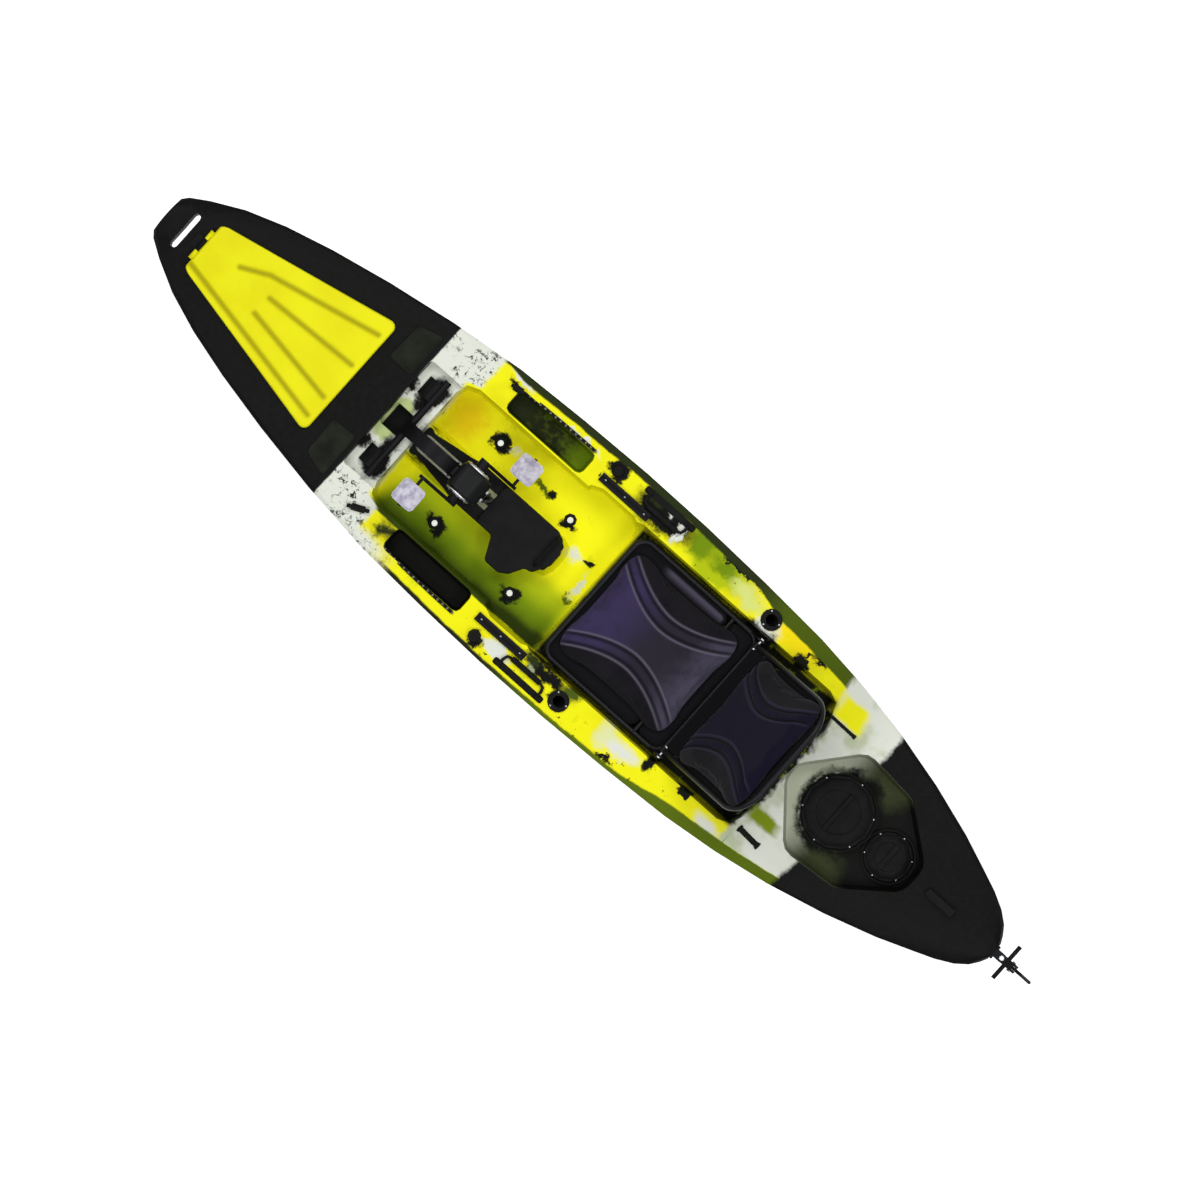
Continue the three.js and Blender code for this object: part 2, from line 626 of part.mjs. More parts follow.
// Round screw hatches: a ring screwed to its seat and a lid with finger lobes round its rim.
const ringHeight = 10;
const hatchLidHeight = 14;
const hatchPlug = 12;
const lidLobes = 10;
const lobeDepth = 5;
const gripHalf = 8;
const gripHeight = 12;
const dishShare = 0.66;
function lobedRim(x, radius) {
  const turn = Math.PI / lidLobes;
  return Array.from({ length: lidLobes * 2 }, (_, i) => {
    const r = radius - (i % 2) * lobeDepth;
    return new THREE.Vector2(x + r * Math.cos(i * turn), r * Math.sin(i * turn));
  });
}
["screw_hatch", "day_hatch"].forEach((name, i) => {
  const { x, ring, lid, opening, seatZ } = hatches[i];
  const low = seatZ + seatGap;
  const lidZ = low + ringHeight + seatGap;
  const bore = opening - skin;
  const foot = [x, 0, low];
  const above = [x, 0, low + axisStep];
  const collar = turned([
    [bore, -hatchPlug], [opening - seatGap, -hatchPlug], [opening - seatGap, 0], [ring, 0],
    [ring, ringHeight / 2], [ring - ringHeight / 2, ringHeight], [bore, ringHeight], [bore, -hatchPlug],
  ], foot, above, roundCount);
  place(kayak, `${name}_ring`, collar, finish.black);
  const plugRadius = bore * Math.cos(Math.PI / roundCount) - seatGap;
  const plug = prism(circle(x, 0, plugRadius, roundCount), low, lidZ + skin);
  const dishZ = lidZ + hatchLidHeight * halfShare;
  const dishRadius = lid * dishShare;
  const cap = loft([
    ringAt(lobedRim(x, lid), lidZ), ringAt(lobedRim(x, lid), dishZ),
    ringAt(lobedRim(x, lid - hatchLidHeight), lidZ + hatchLidHeight)]);
  const dish = prism(circle(x, 0, dishRadius, roundCount), dishZ, lidZ + overrun);
  const gripBase = dishZ - seatGap;
  const gripPlan = rectangle(x - gripHalf, x + gripHalf, -dishRadius, dishRadius, gripHalf / 2, chamferSteps);
  const grip = prism(gripPlan, gripBase, gripBase + gripHeight);
  place(kayak, `${name}_lid`, joined(cut(cap, dish), grip, plug), finish.black);
});

// Scupper liners: flanged tubes pushed into the drain holes of the cockpit floor.
const scupperWall = 2.5;
const scupperFlange = 23;
const scupperFlangeHeight = 4;
scuppers.forEach(({ x, y }, i) => {
  const outer = scupperRadius - seatGap;
  const profile = [
    [outer - scupperWall, -footwellFloor + skin], [outer, -footwellFloor + skin], [outer, 0],
    [scupperFlange, 0], [scupperFlange - scupperWall, scupperFlangeHeight],
    [outer - scupperWall, scupperFlangeHeight], [outer - scupperWall, -footwellFloor + skin],
  ];
  const z = footwellFloor + seatGap;
  const liner = turned(profile, [x, y, z], [x, y, z + axisStep], scupperCount);
  place(kayak, `scupper_${i + 1}`, liner, finish.black);
});

// Rod holders: a flanged cup, closed at its foot.
rodHolders.forEach((holder) => {
  const rim = deckZ + seatGap;
  const flange = prism(circle(holder.x, holder.y, rodHolderRim, roundCount), rim, rim + skin);
  const below = slab(holder.x - overrun, holder.x + overrun, -hullBeam, hullBeam, -overrun, rim + seatGap);
  const cup = rodHolderBore(holder, rodHolderRadius, rodHolderDepth).intersect(below);
  const bore = rodHolderBore(holder, rodHolderRadius - rodHolderWall, rodHolderDepth - skin);
  place(kayak, `rod_holder_${holder.side}`, cut(joined(flange, cup), bore), finish.black);
});

// Gear tracks: aluminium channels on the side decks with a slot for sliding bolts.
const trackY = 316;
const trackHalf = 16;
const trackHeight = 13;
const trackSlotHalf = 4.5;
const trackGrooveHalf = 10;
const trackLip = 4;
const trackFloor = 3;

// Carry handles: a bail that lies flat on the side deck and swings up from two ears.
const bailBack = 30;
const bailX = footwellAftX - bailBack;
const bailLength = 170;
const bailReach = 42;
const bailPivotY = 388;
const bailRadius = 5.5;
const bailGrip = 10;
const bailRise = 12;
const earThickness = 12;
const earHalf = 12;
const earOverlap = 1;
const bailSteps = 2;
const bailEyeShare = 1.3;
sides.forEach(([side, sign]) => {
  const z = deckZ + seatGap;
  const middle = sign * trackY;
  const [x0, x1] = [gearTrackX - gearTrackLength / 2, gearTrackX + gearTrackLength / 2];
  const section = rectangle(
    middle - trackHalf, middle + trackHalf, z, z + trackHeight, trackLip / 2, chamferSteps);
  const groove = (half, top) =>
    slab(x0 - overrun, x1 + overrun, middle - half, middle + half, z + trackFloor, top);
  place(kayak, `gear_track_${side}`, cut(
    lengthwise(section, x0, x1),
    groove(trackGrooveHalf, z + trackHeight - trackLip),
    groove(trackSlotHalf, z + overrun),
  ), finish.track);

  const pivotZ = z + bailRise;
  const pivotY = sign * bailPivotY;
  const innerY = pivotY - sign * bailReach;
  const ends = [bailX + bailLength / 2, bailX - bailLength / 2];
  const bail = tube(bent([
    new THREE.Vector3(ends[0], pivotY, pivotZ), new THREE.Vector3(ends[0], innerY, pivotZ),
    new THREE.Vector3(ends[1], innerY, pivotZ), new THREE.Vector3(ends[1], pivotY, pivotZ),
  ], bailReach / 2, false, bailSteps), bailRadius, up, hexCount);
  const along = (x, y, reach, radius) =>
    bar([x - reach, y, pivotZ], [x + reach, y, pivotZ], radius, barCount);
  const grip = along(bailX, innerY, bailLength / 2 - bailReach / 2, bailGrip);
  const eyes = ends.map((x) => along(x, pivotY, bailRadius, bailRadius * bailEyeShare));
  const boreRadius = bailRadius * halfShare;
  const bore = along(bailX, pivotY, overrun, boreRadius + seatGap);
  place(kayak, `carry_handle_${side}`, cut(joined(bail, grip, ...eyes), bore), finish.black);
  const [mountAft, mountFore] = [ends[1] - earThickness * 2, ends[0] + earThickness * 2];
  const mountPlan = rectangle(mountAft, mountFore, pivotY - earHalf, pivotY + earHalf, earHalf / 2);
  const mountBase = prism(mountPlan, z, z + trackFloor);
  const ears = ends.flatMap((x, i) => {
    const out = i ? -1 : 1;
    const from = x + out * (bailRadius + seatGap);
    const span = [from, from + out * earThickness].sort((a, b) => a - b);
    return [
      slab(...span, pivotY - earHalf * halfShare, pivotY + earHalf * halfShare, z, pivotZ + boreRadius * 2),
      bar([from - out * bailRadius * 2, pivotY, pivotZ], [from + out * earOverlap, pivotY, pivotZ],
        boreRadius, barCount),
    ];
  });
  place(kayak, `carry_handle_mount_${side}`, joined(mountBase, ...ears), finish.black);
});

// Steering knob on the port side deck, which turns the rudder through lines inside the hull.
const knobFore = 180;
const knobY = 374;
const knobBase = 24;
const knobRadius = 20;
const knobBaseHeight = 6;
const knobHeight = 24;
const knobPost = 7;
const knobLeverShare = 1.6;
const knobShoulderShare = 0.7;
const knobCrownShare = 0.8;
const knob = {
  x: footwellAftX + knobFore, y: knobY, base: knobBase, top: knobRadius, baseHeight: knobBaseHeight,
  height: knobHeight, post: knobPost,
};
const knobZ = deckZ + seatGap;
const knobFoot = knobZ + knob.baseHeight + seatGap;
const knobAt = (z) => [knob.x, knob.y, z];
place(kayak, "steering_base", joined(
  turned([
    [0, 0], [knob.base, 0], [knob.base, knob.baseHeight * halfShare], [knob.top, knob.baseHeight],
    [0, knob.baseHeight],
  ], knobAt(knobZ), knobAt(knobZ + axisStep), barCount),
  bar(knobAt(knobZ), knobAt(knobFoot + knob.height * halfShare), knob.post, pinCount),
), finish.black);
const knobLever = prism(
  rectangle(knob.x - knob.top * knobLeverShare, knob.x + knob.top * halfShare,
    knob.y - knob.post, knob.y + knob.post, knob.post / 2),
  knobFoot + knob.height * halfShare, knobFoot + knob.height);
place(kayak, "steering_knob", cut(
  joined(
    turned([
      [0, 0], [knob.top, 0], [knob.top, knob.height * knobShoulderShare],
      [knob.top * knobCrownShare, knob.height], [0, knob.height],
    ], knobAt(knobFoot), knobAt(knobFoot + axisStep), barCount),
    knobLever,
  ),
  bar(knobAt(knobFoot - skin), knobAt(knobFoot + knob.height * halfShare + seatGap),
    knob.post + seatGap, pinCount),
), finish.black);

// Stern handle: a moulded strap that arches over the stern deck.
const sternHandleBack = 127;
const sternHandleLength = 118;
const sternHandleHalf = 14;
const sternHandleRise = 26;
const sternHandleThickness = 8;
const sternHandleFoot = 22;
const sternHandle = {
  x: tankAftX - sternHandleBack, length: sternHandleLength, half: sternHandleHalf, rise: sternHandleRise,
  thickness: sternHandleThickness, foot: sternHandleFoot,
};
const archEnds = [sternHandle.x - sternHandle.length / 2, sternHandle.x + sternHandle.length / 2];
const footPads = archEnds.map((x, i) => {
  const inner = x + (i ? -1 : 1) * sternHandle.foot;
  return rectangle(Math.min(x, inner), Math.max(x, inner), -sternHandle.half, sternHandle.half, skin);
});
const strapPlan = rectangle(...archEnds, -sternHandle.half, sternHandle.half, skin);
place(kayak, "stern_handle", joined(
  ...footPads.map((pad) => onDeck(pad, seatGap, sternHandle.rise)),
  onDeck(strapPlan, sternHandle.rise - sternHandle.thickness, sternHandle.rise),
), finish.black);

// Seat: a tube frame on the seat well's floor, with a reclining back on two pins.
const seatTube = 11;
const seatTubeCount = 8;
const seatRailY = 260;
const seatRailZ = 236;
const seatSetback = 24;
const seatFrontX = footwellAftX - seatSetback;
const seatLength = 530;
const seatBend = 45;
const seatRearX = seatFrontX - seatLength;
const backPivotBack = 4;
const backPivotRise = 66;
const backPivot = { x: seatRearX - backPivotBack, z: seatRailZ + backPivotRise };
const legSetback = 70;
const footHeight = 14;
const footHalf = 20;
const legTubeShare = 0.8;
const footShare = 0.8;
const footTopShare = 0.6;
const seatCrossShare = 0.7;
const railLoop = bent([
  new THREE.Vector3(seatFrontX, seatRailY, seatRailZ), new THREE.Vector3(seatRearX, seatRailY, seatRailZ),
  new THREE.Vector3(seatRearX, -seatRailY, seatRailZ), new THREE.Vector3(seatFrontX, -seatRailY, seatRailZ),
], seatBend, true);
const legs = sides.flatMap(([, sign]) => [seatFrontX - legSetback, seatRearX + legSetback].map((x) => {
  const at = (z) => [x, sign * seatRailY, z];
  return joined(
    bar(at(seatWellFloor + footHeight / 2), at(seatRailZ), seatTube * legTubeShare, seatTubeCount),
    bar(at(seatWellFloor + seatGap), at(seatWellFloor + footHeight), footHalf * footShare,
      seatTubeCount, footHalf * footTopShare),
  );
}));
const pivotPinRadius = 4;
const pivotPlate = 6;
const pivotEye = 15;
const pivotPlates = sides.map(([, sign]) => {
  const middle = sign * seatRailY;
  const [aftX, foreX, eyeZ] = [backPivot.x - pivotEye, backPivot.x + pivotEye, backPivot.z + pivotEye];
  return sidePlate(rounded([
    [seatRearX + seatBend, seatRailZ, seatTube], [foreX, eyeZ, pivotEye], [aftX, eyeZ, pivotEye],
    [aftX, seatRailZ + seatBend * halfShare, seatTube],
    [seatRearX + seatBend * halfShare, seatRailZ - seatTube * halfShare, skin],
  ], seatTube), middle - pivotPlate / 2, middle + pivotPlate / 2);
});
const seatCrossX = seatRearX + seatBend + legSetback;
const seatCross = across(
  -seatRailY, seatRailY, seatCrossX, seatRailZ, seatTube * seatCrossShare, seatTubeCount);
place(kayak, "seat_base_frame", cut(
  joined(tube(railLoop, seatTube, up, seatTubeCount, true), ...legs, ...pivotPlates, seatCross),
  across(-overrun, overrun, backPivot.x, backPivot.z, pivotPinRadius + seatGap, pinCount),
), finish.frame);

// The fabric slings are stretched between the tubes, and the cushions lie on them.
const slingThickness = 3;
const slingTuck = 1.6;
const slingZ = seatRailZ + seatTube - slingThickness;
const [slingRear, slingFront] = [seatCrossX + seatTube, seatFrontX - seatTube + slingTuck];
const seatSlingHalf = seatRailY - seatTube + slingTuck;
place(kayak, "seat_sling", prism(
  rectangle(slingRear, slingFront, -seatSlingHalf, seatSlingHalf, seatBend),
  slingZ - slingThickness, slingZ), finish.mesh);

// A cushion has a crown, sides that draw in, and two pairs of curved channels sewn down its length.
const cushionSteps = 18;
const channelDepth = 9;
const channelHalf = 7;
const channelGap = 20;
const outlinePower = 7;
const tipShare = 0.985;
const waistShare = 0.93;
const swellShare = 0.07;
const endShare = 0.45;
const fillShare = 0.55;
const brimShare = 0.8;
const crownShare = 0.2;
const flankShares = [[0.9, 0], [0.97, 0.2], [1, 0.45]];
const brimEdgeShare = 0.96;
const pipingShare = 0.12;
function cushion(length, half, thickness, base, [channelWaist, channelEnd]) {
  const rings = [];
  for (let i = 0; i <= cushionSteps; i++) {
    const t = -Math.cos((Math.PI * i) / cushionSteps);
    const end = (1 - Math.abs(t) ** outlinePower * tipShare) ** (1 / outlinePower);
    const wide = half * (waistShare + swellShare * t * t) * end;
    const tall = thickness * (endShare + fillShare * (1 - t ** outlinePower * Math.sign(t)) ** halfShare);
    const x = -length * (1 + t) * halfShare;
    const channel = wide * (channelWaist + (channelEnd - channelWaist) * t * t);
    const crown = (y) => brimShare + crownShare * Math.cos((y / wide) * Math.PI * halfShare);
    const top = (y, dip) => base + tall * crown(y) - dip * end;
    const seam = (y) => [[y + channelHalf, 0], [y, channelDepth], [y - channelHalf, 0]];
    const edge = wide * brimEdgeShare;
    const right = [
      ...flankShares.map(([out, high]) => [wide * out, base + tall * high]),
      [edge, top(edge, thickness * pipingShare)],
      ...[...seam(channel + channelGap), ...seam(channel - channelGap)].map(([y, dip]) => [y, top(y, dip)]),
      [channel * halfShare, top(channel * halfShare, 0)], [0, top(0, 0)],
    ];
    const left = right.slice(0, -1).reverse().map(([y, z]) => [-y, z]);
    rings.push([...right, ...left].map(([y, z]) => new THREE.Vector3(x, y, z)));
  }
  return loft(rings);
}
const cushionThickness = 42;
const seatCushionLength = 485;
const seatCushionHalf = 214;
const seatChannelShares = [0.4, 0.72];
const seatCushion = place(kayak, "seat_cushion",
  cushion(seatCushionLength, seatCushionHalf, cushionThickness, slingZ + seatGap, seatChannelShares),
  finish.fabric);
seatCushion.position.x = seatFrontX - seatTube - seatGap - skin;

// The back is drawn flat, lying aft of its pins, and then stood up to its resting recline.
const backRecline = 38;
const backTubeY = 236;
const backLength = 540;
const backBend = 110;
const backCushionStart = 96;
const backCushionLength = 432;
const backChannelShares = [0.42, 0.74];
const backEyeShare = 1.25;
const backCrossShare = 0.8;
const back = new THREE.Group();
back.position.set(backPivot.x, 0, backPivot.z);
back.rotation.y = THREE.MathUtils.degToRad(quarter - backRecline);
kayak.add(back);
const backLoop = bent([
  new THREE.Vector3(0, backTubeY, 0), new THREE.Vector3(-backLength, backTubeY, 0),
  new THREE.Vector3(-backLength, -backTubeY, 0), new THREE.Vector3(0, -backTubeY, 0),
], backBend);
const backEyes = sides.map(([, sign]) =>
  across(sign * backTubeY - seatTube, sign * backTubeY + seatTube, 0, 0, seatTube * backEyeShare,
    seatTubeCount));
const backCross = across(
  -backTubeY, backTubeY, seatTube * 2 - backCushionStart, 0, seatTube * backCrossShare, seatTubeCount);
place(back, "seat_back_frame", cut(
  joined(tube(backLoop, seatTube, up, seatTubeCount), ...backEyes, backCross),
  across(-overrun, overrun, 0, 0, pivotPinRadius + seatGap, pinCount),
), finish.frame);
const backInner = backTubeY - seatTube - seatGap * 2;
const slingInner = backTubeY - seatTube + slingTuck;
place(back, "back_sling", prism(
  rectangle(-backLength + seatTube - slingTuck, -backCushionStart, -slingInner, slingInner, backBend),
  seatTube - slingThickness * 2, seatTube - slingThickness), finish.mesh);
const backCushionBase = seatTube - slingThickness + seatGap;
const backCushion = place(back, "back_cushion",
  cushion(backCushionLength, backInner - seatGap, cushionThickness, backCushionBase, backChannelShares),
  finish.fabric);
backCushion.position.x = -backCushionStart - skin;
const pinHead = 8;
sides.forEach(([side, sign]) => {
  const [inner, outer] = [backTubeY - seatTube - seatGap, seatRailY + pivotPlate / 2 + seatGap];
  const at = (y) => [backPivot.x, sign * y, backPivot.z];
  place(kayak, `seat_pivot_pin_${side}`, joined(
    bar(at(inner - skin), at(outer + skin), pivotPinRadius, pinCount),
    bar(at(outer), at(outer + skin), pinHead, pinCount),
    bar(at(inner - skin), at(inner), pinHead, pinCount),
  ), finish.steel);
});

// Drive-well frame: a black moulded collar on the console round the slot, under the lift-out cover.
const wellFrameThickness = 9;
const wellFrameZ = consoleTop + seatGap;
const wellFrameTop = wellFrameZ + wellFrameThickness;
const wellFrameShares = [
  [0.014, 0.15], [0.056, 0.112], [0.157, 0.145], [0.24, 0.166], [0.297, 0.19], [0.743, 0.19], [0.806, 0.12],
];
const coverShares = [
  [0.435, 0.19], [0.53, 0.19], [0.58, 0.378], [0.66, 0.378], [0.7, 0.33], [0.735, 0.215], [0.77, 0.2],
  [0.814, 0.06], [0.814, -0.06], [0.78, -0.16], [0.74, -0.19], [0.435, -0.19],
];
const inCockpit = ([along, breadth]) => [footwellFrontX - along * footwellLength, breadth * hullBeam / 2];
const frameCorner = 16;
const wellFramePlan = rounded(mirrored(wellFrameShares.map(inCockpit)), frameCorner);
const wellFrame = prism(wellFramePlan, wellFrameZ, wellFrameTop);
place(kayak, "drive_well_frame", cut(wellFrame, prism(slot, 0, overrun)), finish.black);
const coverHeight = 13;
const coverWall = 3;
const coverTaperShare = 0.2;
const coverZ = wellFrameTop + seatGap;
const coverPlan = rounded(coverShares.map(inCockpit), frameCorner);
const coverShell = (inset, low, high) => loft([
  ringAt(grown(coverPlan, -inset), low),
  ringAt(grown(coverPlan, -inset - frameCorner * coverTaperShare), high)]);
const coverGripFore = 40;
const coverGripHalf = 58;
const coverGripRise = 22;
const coverGripRadius = 7;
const coverGrip = {
  x: consoleAftX + coverGripFore, half: coverGripHalf, rise: coverGripRise, radius: coverGripRadius,
};
const gripZ = coverZ + coverHeight;
const gripAt = (y, height) => new THREE.Vector3(coverGrip.x, y, gripZ + height);
const gripPath = bent([
  gripAt(-coverGrip.half, -coverWall), gripAt(-coverGrip.half, coverGrip.rise),
  gripAt(coverGrip.half, coverGrip.rise), gripAt(coverGrip.half, -coverWall),
], coverGrip.rise);
place(kayak, "drive_well_cover", joined(
  cut(coverShell(0, coverZ, gripZ), coverShell(coverWall, coverZ - skin, gripZ - coverWall)),
  tube(gripPath, coverGrip.radius, forward, barCount),
), finish.black);

// Pedal drive: a sealed housing whose leg passes down the slot to the gearcase and propeller.
const crankBack = 237;
const crankRise = 152;
const crank = { x: footwellFrontX - crankBack, z: consoleTop + crankRise };
const gearcaseFore = 14;
const gearcaseDrop = 175;
const gearcaseRadius = 31;
const gearcaseHalf = 78;
const gearcase = { x: crank.x + gearcaseFore, z: -gearcaseDrop, radius: gearcaseRadius, half: gearcaseHalf };
const neckHeight = 40;
const legFoot = gearcase.z + neckHeight;
const housingHalf = 50;
const chamberRadius = 43;
const legHalf = 17;
const shaftBore = 9.5;
const flangeThickness = 6;
const flangeHalf = 46;
const flangeReach = 56;
const legChord = 100;
const legShares = [
  [0.1, 0.58, -0.44], [0.3, 0.26, -0.34], [0.52, 0.28, -0.24],
  [0.74, 0.36, -0.26], [0.9, 0.46, -0.36], [1, 0.52, -0.42],
];
const legLeadShare = 0.2;
const legDrop = crank.z - legFoot;
const atCrank = ([dx, dz, r]) => [crank.x + dx * legChord, crank.z + dz * legChord, r];
const legSections = legShares.map(([drop, fore, aft]) =>
  ({ z: crank.z - drop * legDrop, fore: crank.x + fore * legChord, aft: crank.x + aft * legChord }));

// A leg's cross-section: an oval, fuller at its leading edge.
function legRing({ z, fore, aft }, half) {
  const [middle, reach] = [(fore + aft) / 2, (fore - aft) / 2];
  return Array.from({ length: shaftCount }, (_, i) => {
    const angle = (2 * Math.PI * i) / shaftCount;
    const thin = 1 + Math.cos(angle) * legLeadShare;
    return new THREE.Vector3(middle + reach * Math.cos(angle), half * thin * Math.sin(angle), z);
  });
}

// The housing is a teardrop from the side. A grab handle closes behind the leg.
const bodyShares = [
  [0.56, 0.2, 30], [0.4, 0.52, 24], [-0.3, 0.54, 26], [-0.76, 0.12, 16], [-0.5, -0.46, 20],
  [0.5, -0.46, 30],
];
const bodyCorner = 26;
const bodyPlan = rounded(bodyShares.map(([dx, dz]) => atCrank([dx, dz])), bodyCorner);
const handleShares = [[-0.2, -0.35], [-0.76, -0.5], [-0.74, -1.9], [-0.2, -2.28]];
const handleHoleShares = [[-0.42, -0.72], [-0.62, -0.72], [-0.6, -1.8], [-0.38, -1.92]];
const handleHalf = 11;
const handleCorner = 20;
const handlePlan = rounded(handleShares.map(([dx, dz]) => atCrank([dx, dz])), handleCorner);
const handleHole = rounded(handleHoleShares.map(([dx, dz]) => atCrank([dx, dz])), handleCorner / 2);
const bevel = 8;
const roundedBody = loft([
  [-housingHalf, bevel], [bevel - housingHalf, 0], [housingHalf - bevel, 0], [housingHalf, bevel],
].map(([y, inset]) => grown(bodyPlan, -inset).map((p) => new THREE.Vector3(p.x, y, p.y))));
const crankAt = (y) => [crank.x, y, crank.z];
const lugFore = 72;
const lugDrop = 17;
const lugRadius = 15;
const lugHalf = 18;
const lugBolt = 6;
const hingeLug = {
  x: crank.x + lugFore, z: crank.z - lugDrop, radius: lugRadius, half: lugHalf, bolt: lugBolt,
};
const lug = sidePlate(rounded([
  [crank.x, crank.z + chamberRadius * halfShare], [hingeLug.x, hingeLug.z + hingeLug.radius],
  [hingeLug.x + hingeLug.radius, hingeLug.z], [hingeLug.x, hingeLug.z - hingeLug.radius],
  [crank.x, crank.z - chamberRadius],
], hingeLug.radius), -hingeLug.half, hingeLug.half);
const flangeZ = wellFrameTop + seatGap;
const flangePlan = rectangle(
  crank.x - flangeReach, crank.x + flangeReach, -flangeHalf, flangeHalf, flangeHalf / 2);
const flange = prism(flangePlan, flangeZ, flangeZ + flangeThickness);
place(kayak, "drive_housing", cut(
  joined(
    roundedBody, lug, flange,
    loft(legSections.map((section) => legRing(section, legHalf))),
    cut(sidePlate(handlePlan, -handleHalf, handleHalf), sidePlate(handleHole, -overrun, overrun)),
  ),
  across(-housingHalf - seatGap, housingHalf + seatGap, crank.x, crank.z, chamberRadius, roundCount),
  bar(crankAt(0), [crank.x, 0, legFoot - skin], shaftBore, pinCount),
  across(-overrun, overrun, hingeLug.x, hingeLug.z, hingeLug.bolt + seatGap, pinCount),
), finish.black);

// Silver side covers close the gear chamber and carry the crank axle.
const coverRadius = 48;
const coverThickness = 8;
const axleRadius = 9;
const coverBoss = 19;
const coverBossHeight = 3;
const coverBossDraft = 2;
sides.forEach(([side, sign]) => {
  const foot = crankAt(sign * (housingHalf + seatGap));
  const out = crankAt(sign * (housingHalf + axisStep));
  const bore = axleRadius + seatGap;
  place(kayak, `crank_cover_${side}`, turned([
    [bore, 0], [coverRadius, 0], [coverRadius, coverThickness * halfShare],
    [coverRadius - skin, coverThickness], [coverBoss, coverThickness],
    [coverBoss - coverBossDraft, coverThickness + coverBossHeight],
    [bore, coverThickness + coverBossHeight], [bore, 0],
  ], foot, out, roundCount), finish.silver);
});

// A straight bevel gear. Its cone's apex is the origin, and the gear faces it from up the z axis.
const toothSpaceShares = [[-0.26, -1], [0, 0.75], [0.26, -1]];
const gearToeShare = 0.85;
function bevelGear({ teeth, radius, mate, face, back, bore }, phase) {
  const cone = Math.hypot(radius, mate);
  const toothModule = (2 * radius) / teeth;
  const pitch = (2 * Math.PI) / teeth;
  const raised = (height) => [radius + (height * mate) / cone, mate - (height * radius) / cone];
  const ring = (spot) => Array.from({ length: teeth }, (_, tooth) =>
    toothSpaceShares.map(([offset, height]) => {
      const angle = phase + pitch * (tooth + offset);
      const [r, z] = spot(height * toothModule);
      return new THREE.Vector3(r * Math.cos(angle), r * Math.sin(angle), z);
    })).flat();
  const toe = 1 - face / cone;
  const [rootRadius, rootZ] = raised(-toothModule);
  const gear = loft([
    ring(() => [rootRadius, rootZ + back]),
    ring(raised),
    ring((height) => raised(height).map((v) => v * toe)),
    ring(() => [rootRadius * toe * gearToeShare, rootZ * toe]),
  ]);
  return bore ? cut(gear, bar([0, 0, -overrun], [0, 0, overrun], bore, shaftCount)) : gear;
}
const upperRatio = 4;
const lowerRatio = 2.5;
const shaftRadius = 6;
const upperPinion = { teeth: 8, radius: 9, face: 8, back: 8 };
const crankWheel = {
  teeth: upperPinion.teeth * upperRatio, radius: upperPinion.radius * upperRatio, mate: upperPinion.radius,
  face: 8, back: 7, bore: axleRadius + seatGap,
};
upperPinion.mate = crankWheel.radius;
const propPinion = { teeth: 8, radius: 8, face: 6, back: 7 };
const shaftWheel = {
  teeth: propPinion.teeth * lowerRatio, radius: propPinion.radius * lowerRatio, mate: propPinion.radius,
  face: 6, back: 5, bore: shaftRadius + seatGap,
};
propPinion.mate = shaftWheel.radius;
const shaftAt = (z) => [crank.x, 0, z];
const crankWheelSolid = bevelGear(crankWheel, Math.PI / 2).rotate(-quarter, 0, 0);
place(kayak, "crank_gear", crankWheelSolid.translate(shaftAt(crank.z)), finish.steel);
const upperPhase = Math.PI / upperPinion.teeth - Math.PI / 2;
place(kayak, "drive_shaft", joined(
  bevelGear(upperPinion, upperPhase).rotate(2 * quarter, 0, 0).translate(shaftAt(crank.z)),
  bar(shaftAt(crank.z - crankWheel.radius - skin), shaftAt(gearcase.z + propPinion.radius + seatGap),
    shaftRadius, pinCount),
), finish.steel);
place(kayak, "shaft_gear", bevelGear(shaftWheel, Math.PI).translate(shaftAt(gearcase.z)), finish.steel);

// Propeller shaft, with its pinion cut on the fore end, runs out through the steel bearing ring.
const bearingFore = 10;
const bearingX = gearcase.x - gearcase.half + bearingFore;
const hubLength = 46;
const hubGap = 1;
const hubFrontX = gearcase.x - gearcase.half - hubGap - skin;
const hubRadius = 17;
const hubBoreShare = 0.6;
const lowAt = (x) => [x, 0, gearcase.z];
place(kayak, "propeller_shaft", joined(
  bevelGear(propPinion, Math.PI / propPinion.teeth).rotate(0, -quarter, 0).translate(shaftAt(gearcase.z)),
  bar(lowAt(crank.x - shaftWheel.radius - skin), lowAt(hubFrontX - hubLength * hubBoreShare),
    shaftRadius, pinCount),
), finish.steel);
const ringRadius = 22;
const ringLength = 14;
place(kayak, "propeller_bearing", turned([
  [shaftRadius + seatGap, 0], [ringRadius - skin, 0], [ringRadius - skin, ringLength * halfShare],
  [ringRadius, ringLength * halfShare + seatGap], [ringRadius, ringLength],
  [shaftRadius + seatGap, ringLength], [shaftRadius + seatGap, 0],
], lowAt(bearingX), lowAt(bearingX - axisStep), roundCount), finish.silver);

// Gearcase: a spindle-shaped lower housing with a fin that guards the propeller.
const gearcaseSteps = 10;
const gearcasePower = 0.8;
const gearcaseCount = 18;
const gearcaseProfile = Array.from({ length: gearcaseSteps + 1 }, (_, i) => {
  const angle = (Math.PI * i) / gearcaseSteps;
  return [gearcase.radius * Math.sin(angle) ** gearcasePower, gearcase.half * (1 - Math.cos(angle))];
});
gearcaseProfile[0][0] = 0;
gearcaseProfile.at(-1)[0] = 0;
const gearcaseBody = turned(
  gearcaseProfile, lowAt(gearcase.x - gearcase.half), lowAt(gearcase.x), gearcaseCount);
const neck = { ...legSections.at(-1), z: legFoot - seatGap };
const neckShare = 1.2;
const finShares = [
  [0.72, -5.16], [0.62, -6], [0.2, -6.5, 20], [-0.3, -6.56, 20], [-0.4, -5.8], [-0.24, -5.16],
];
const finHalf = 4.5;
const finCorner = 40;
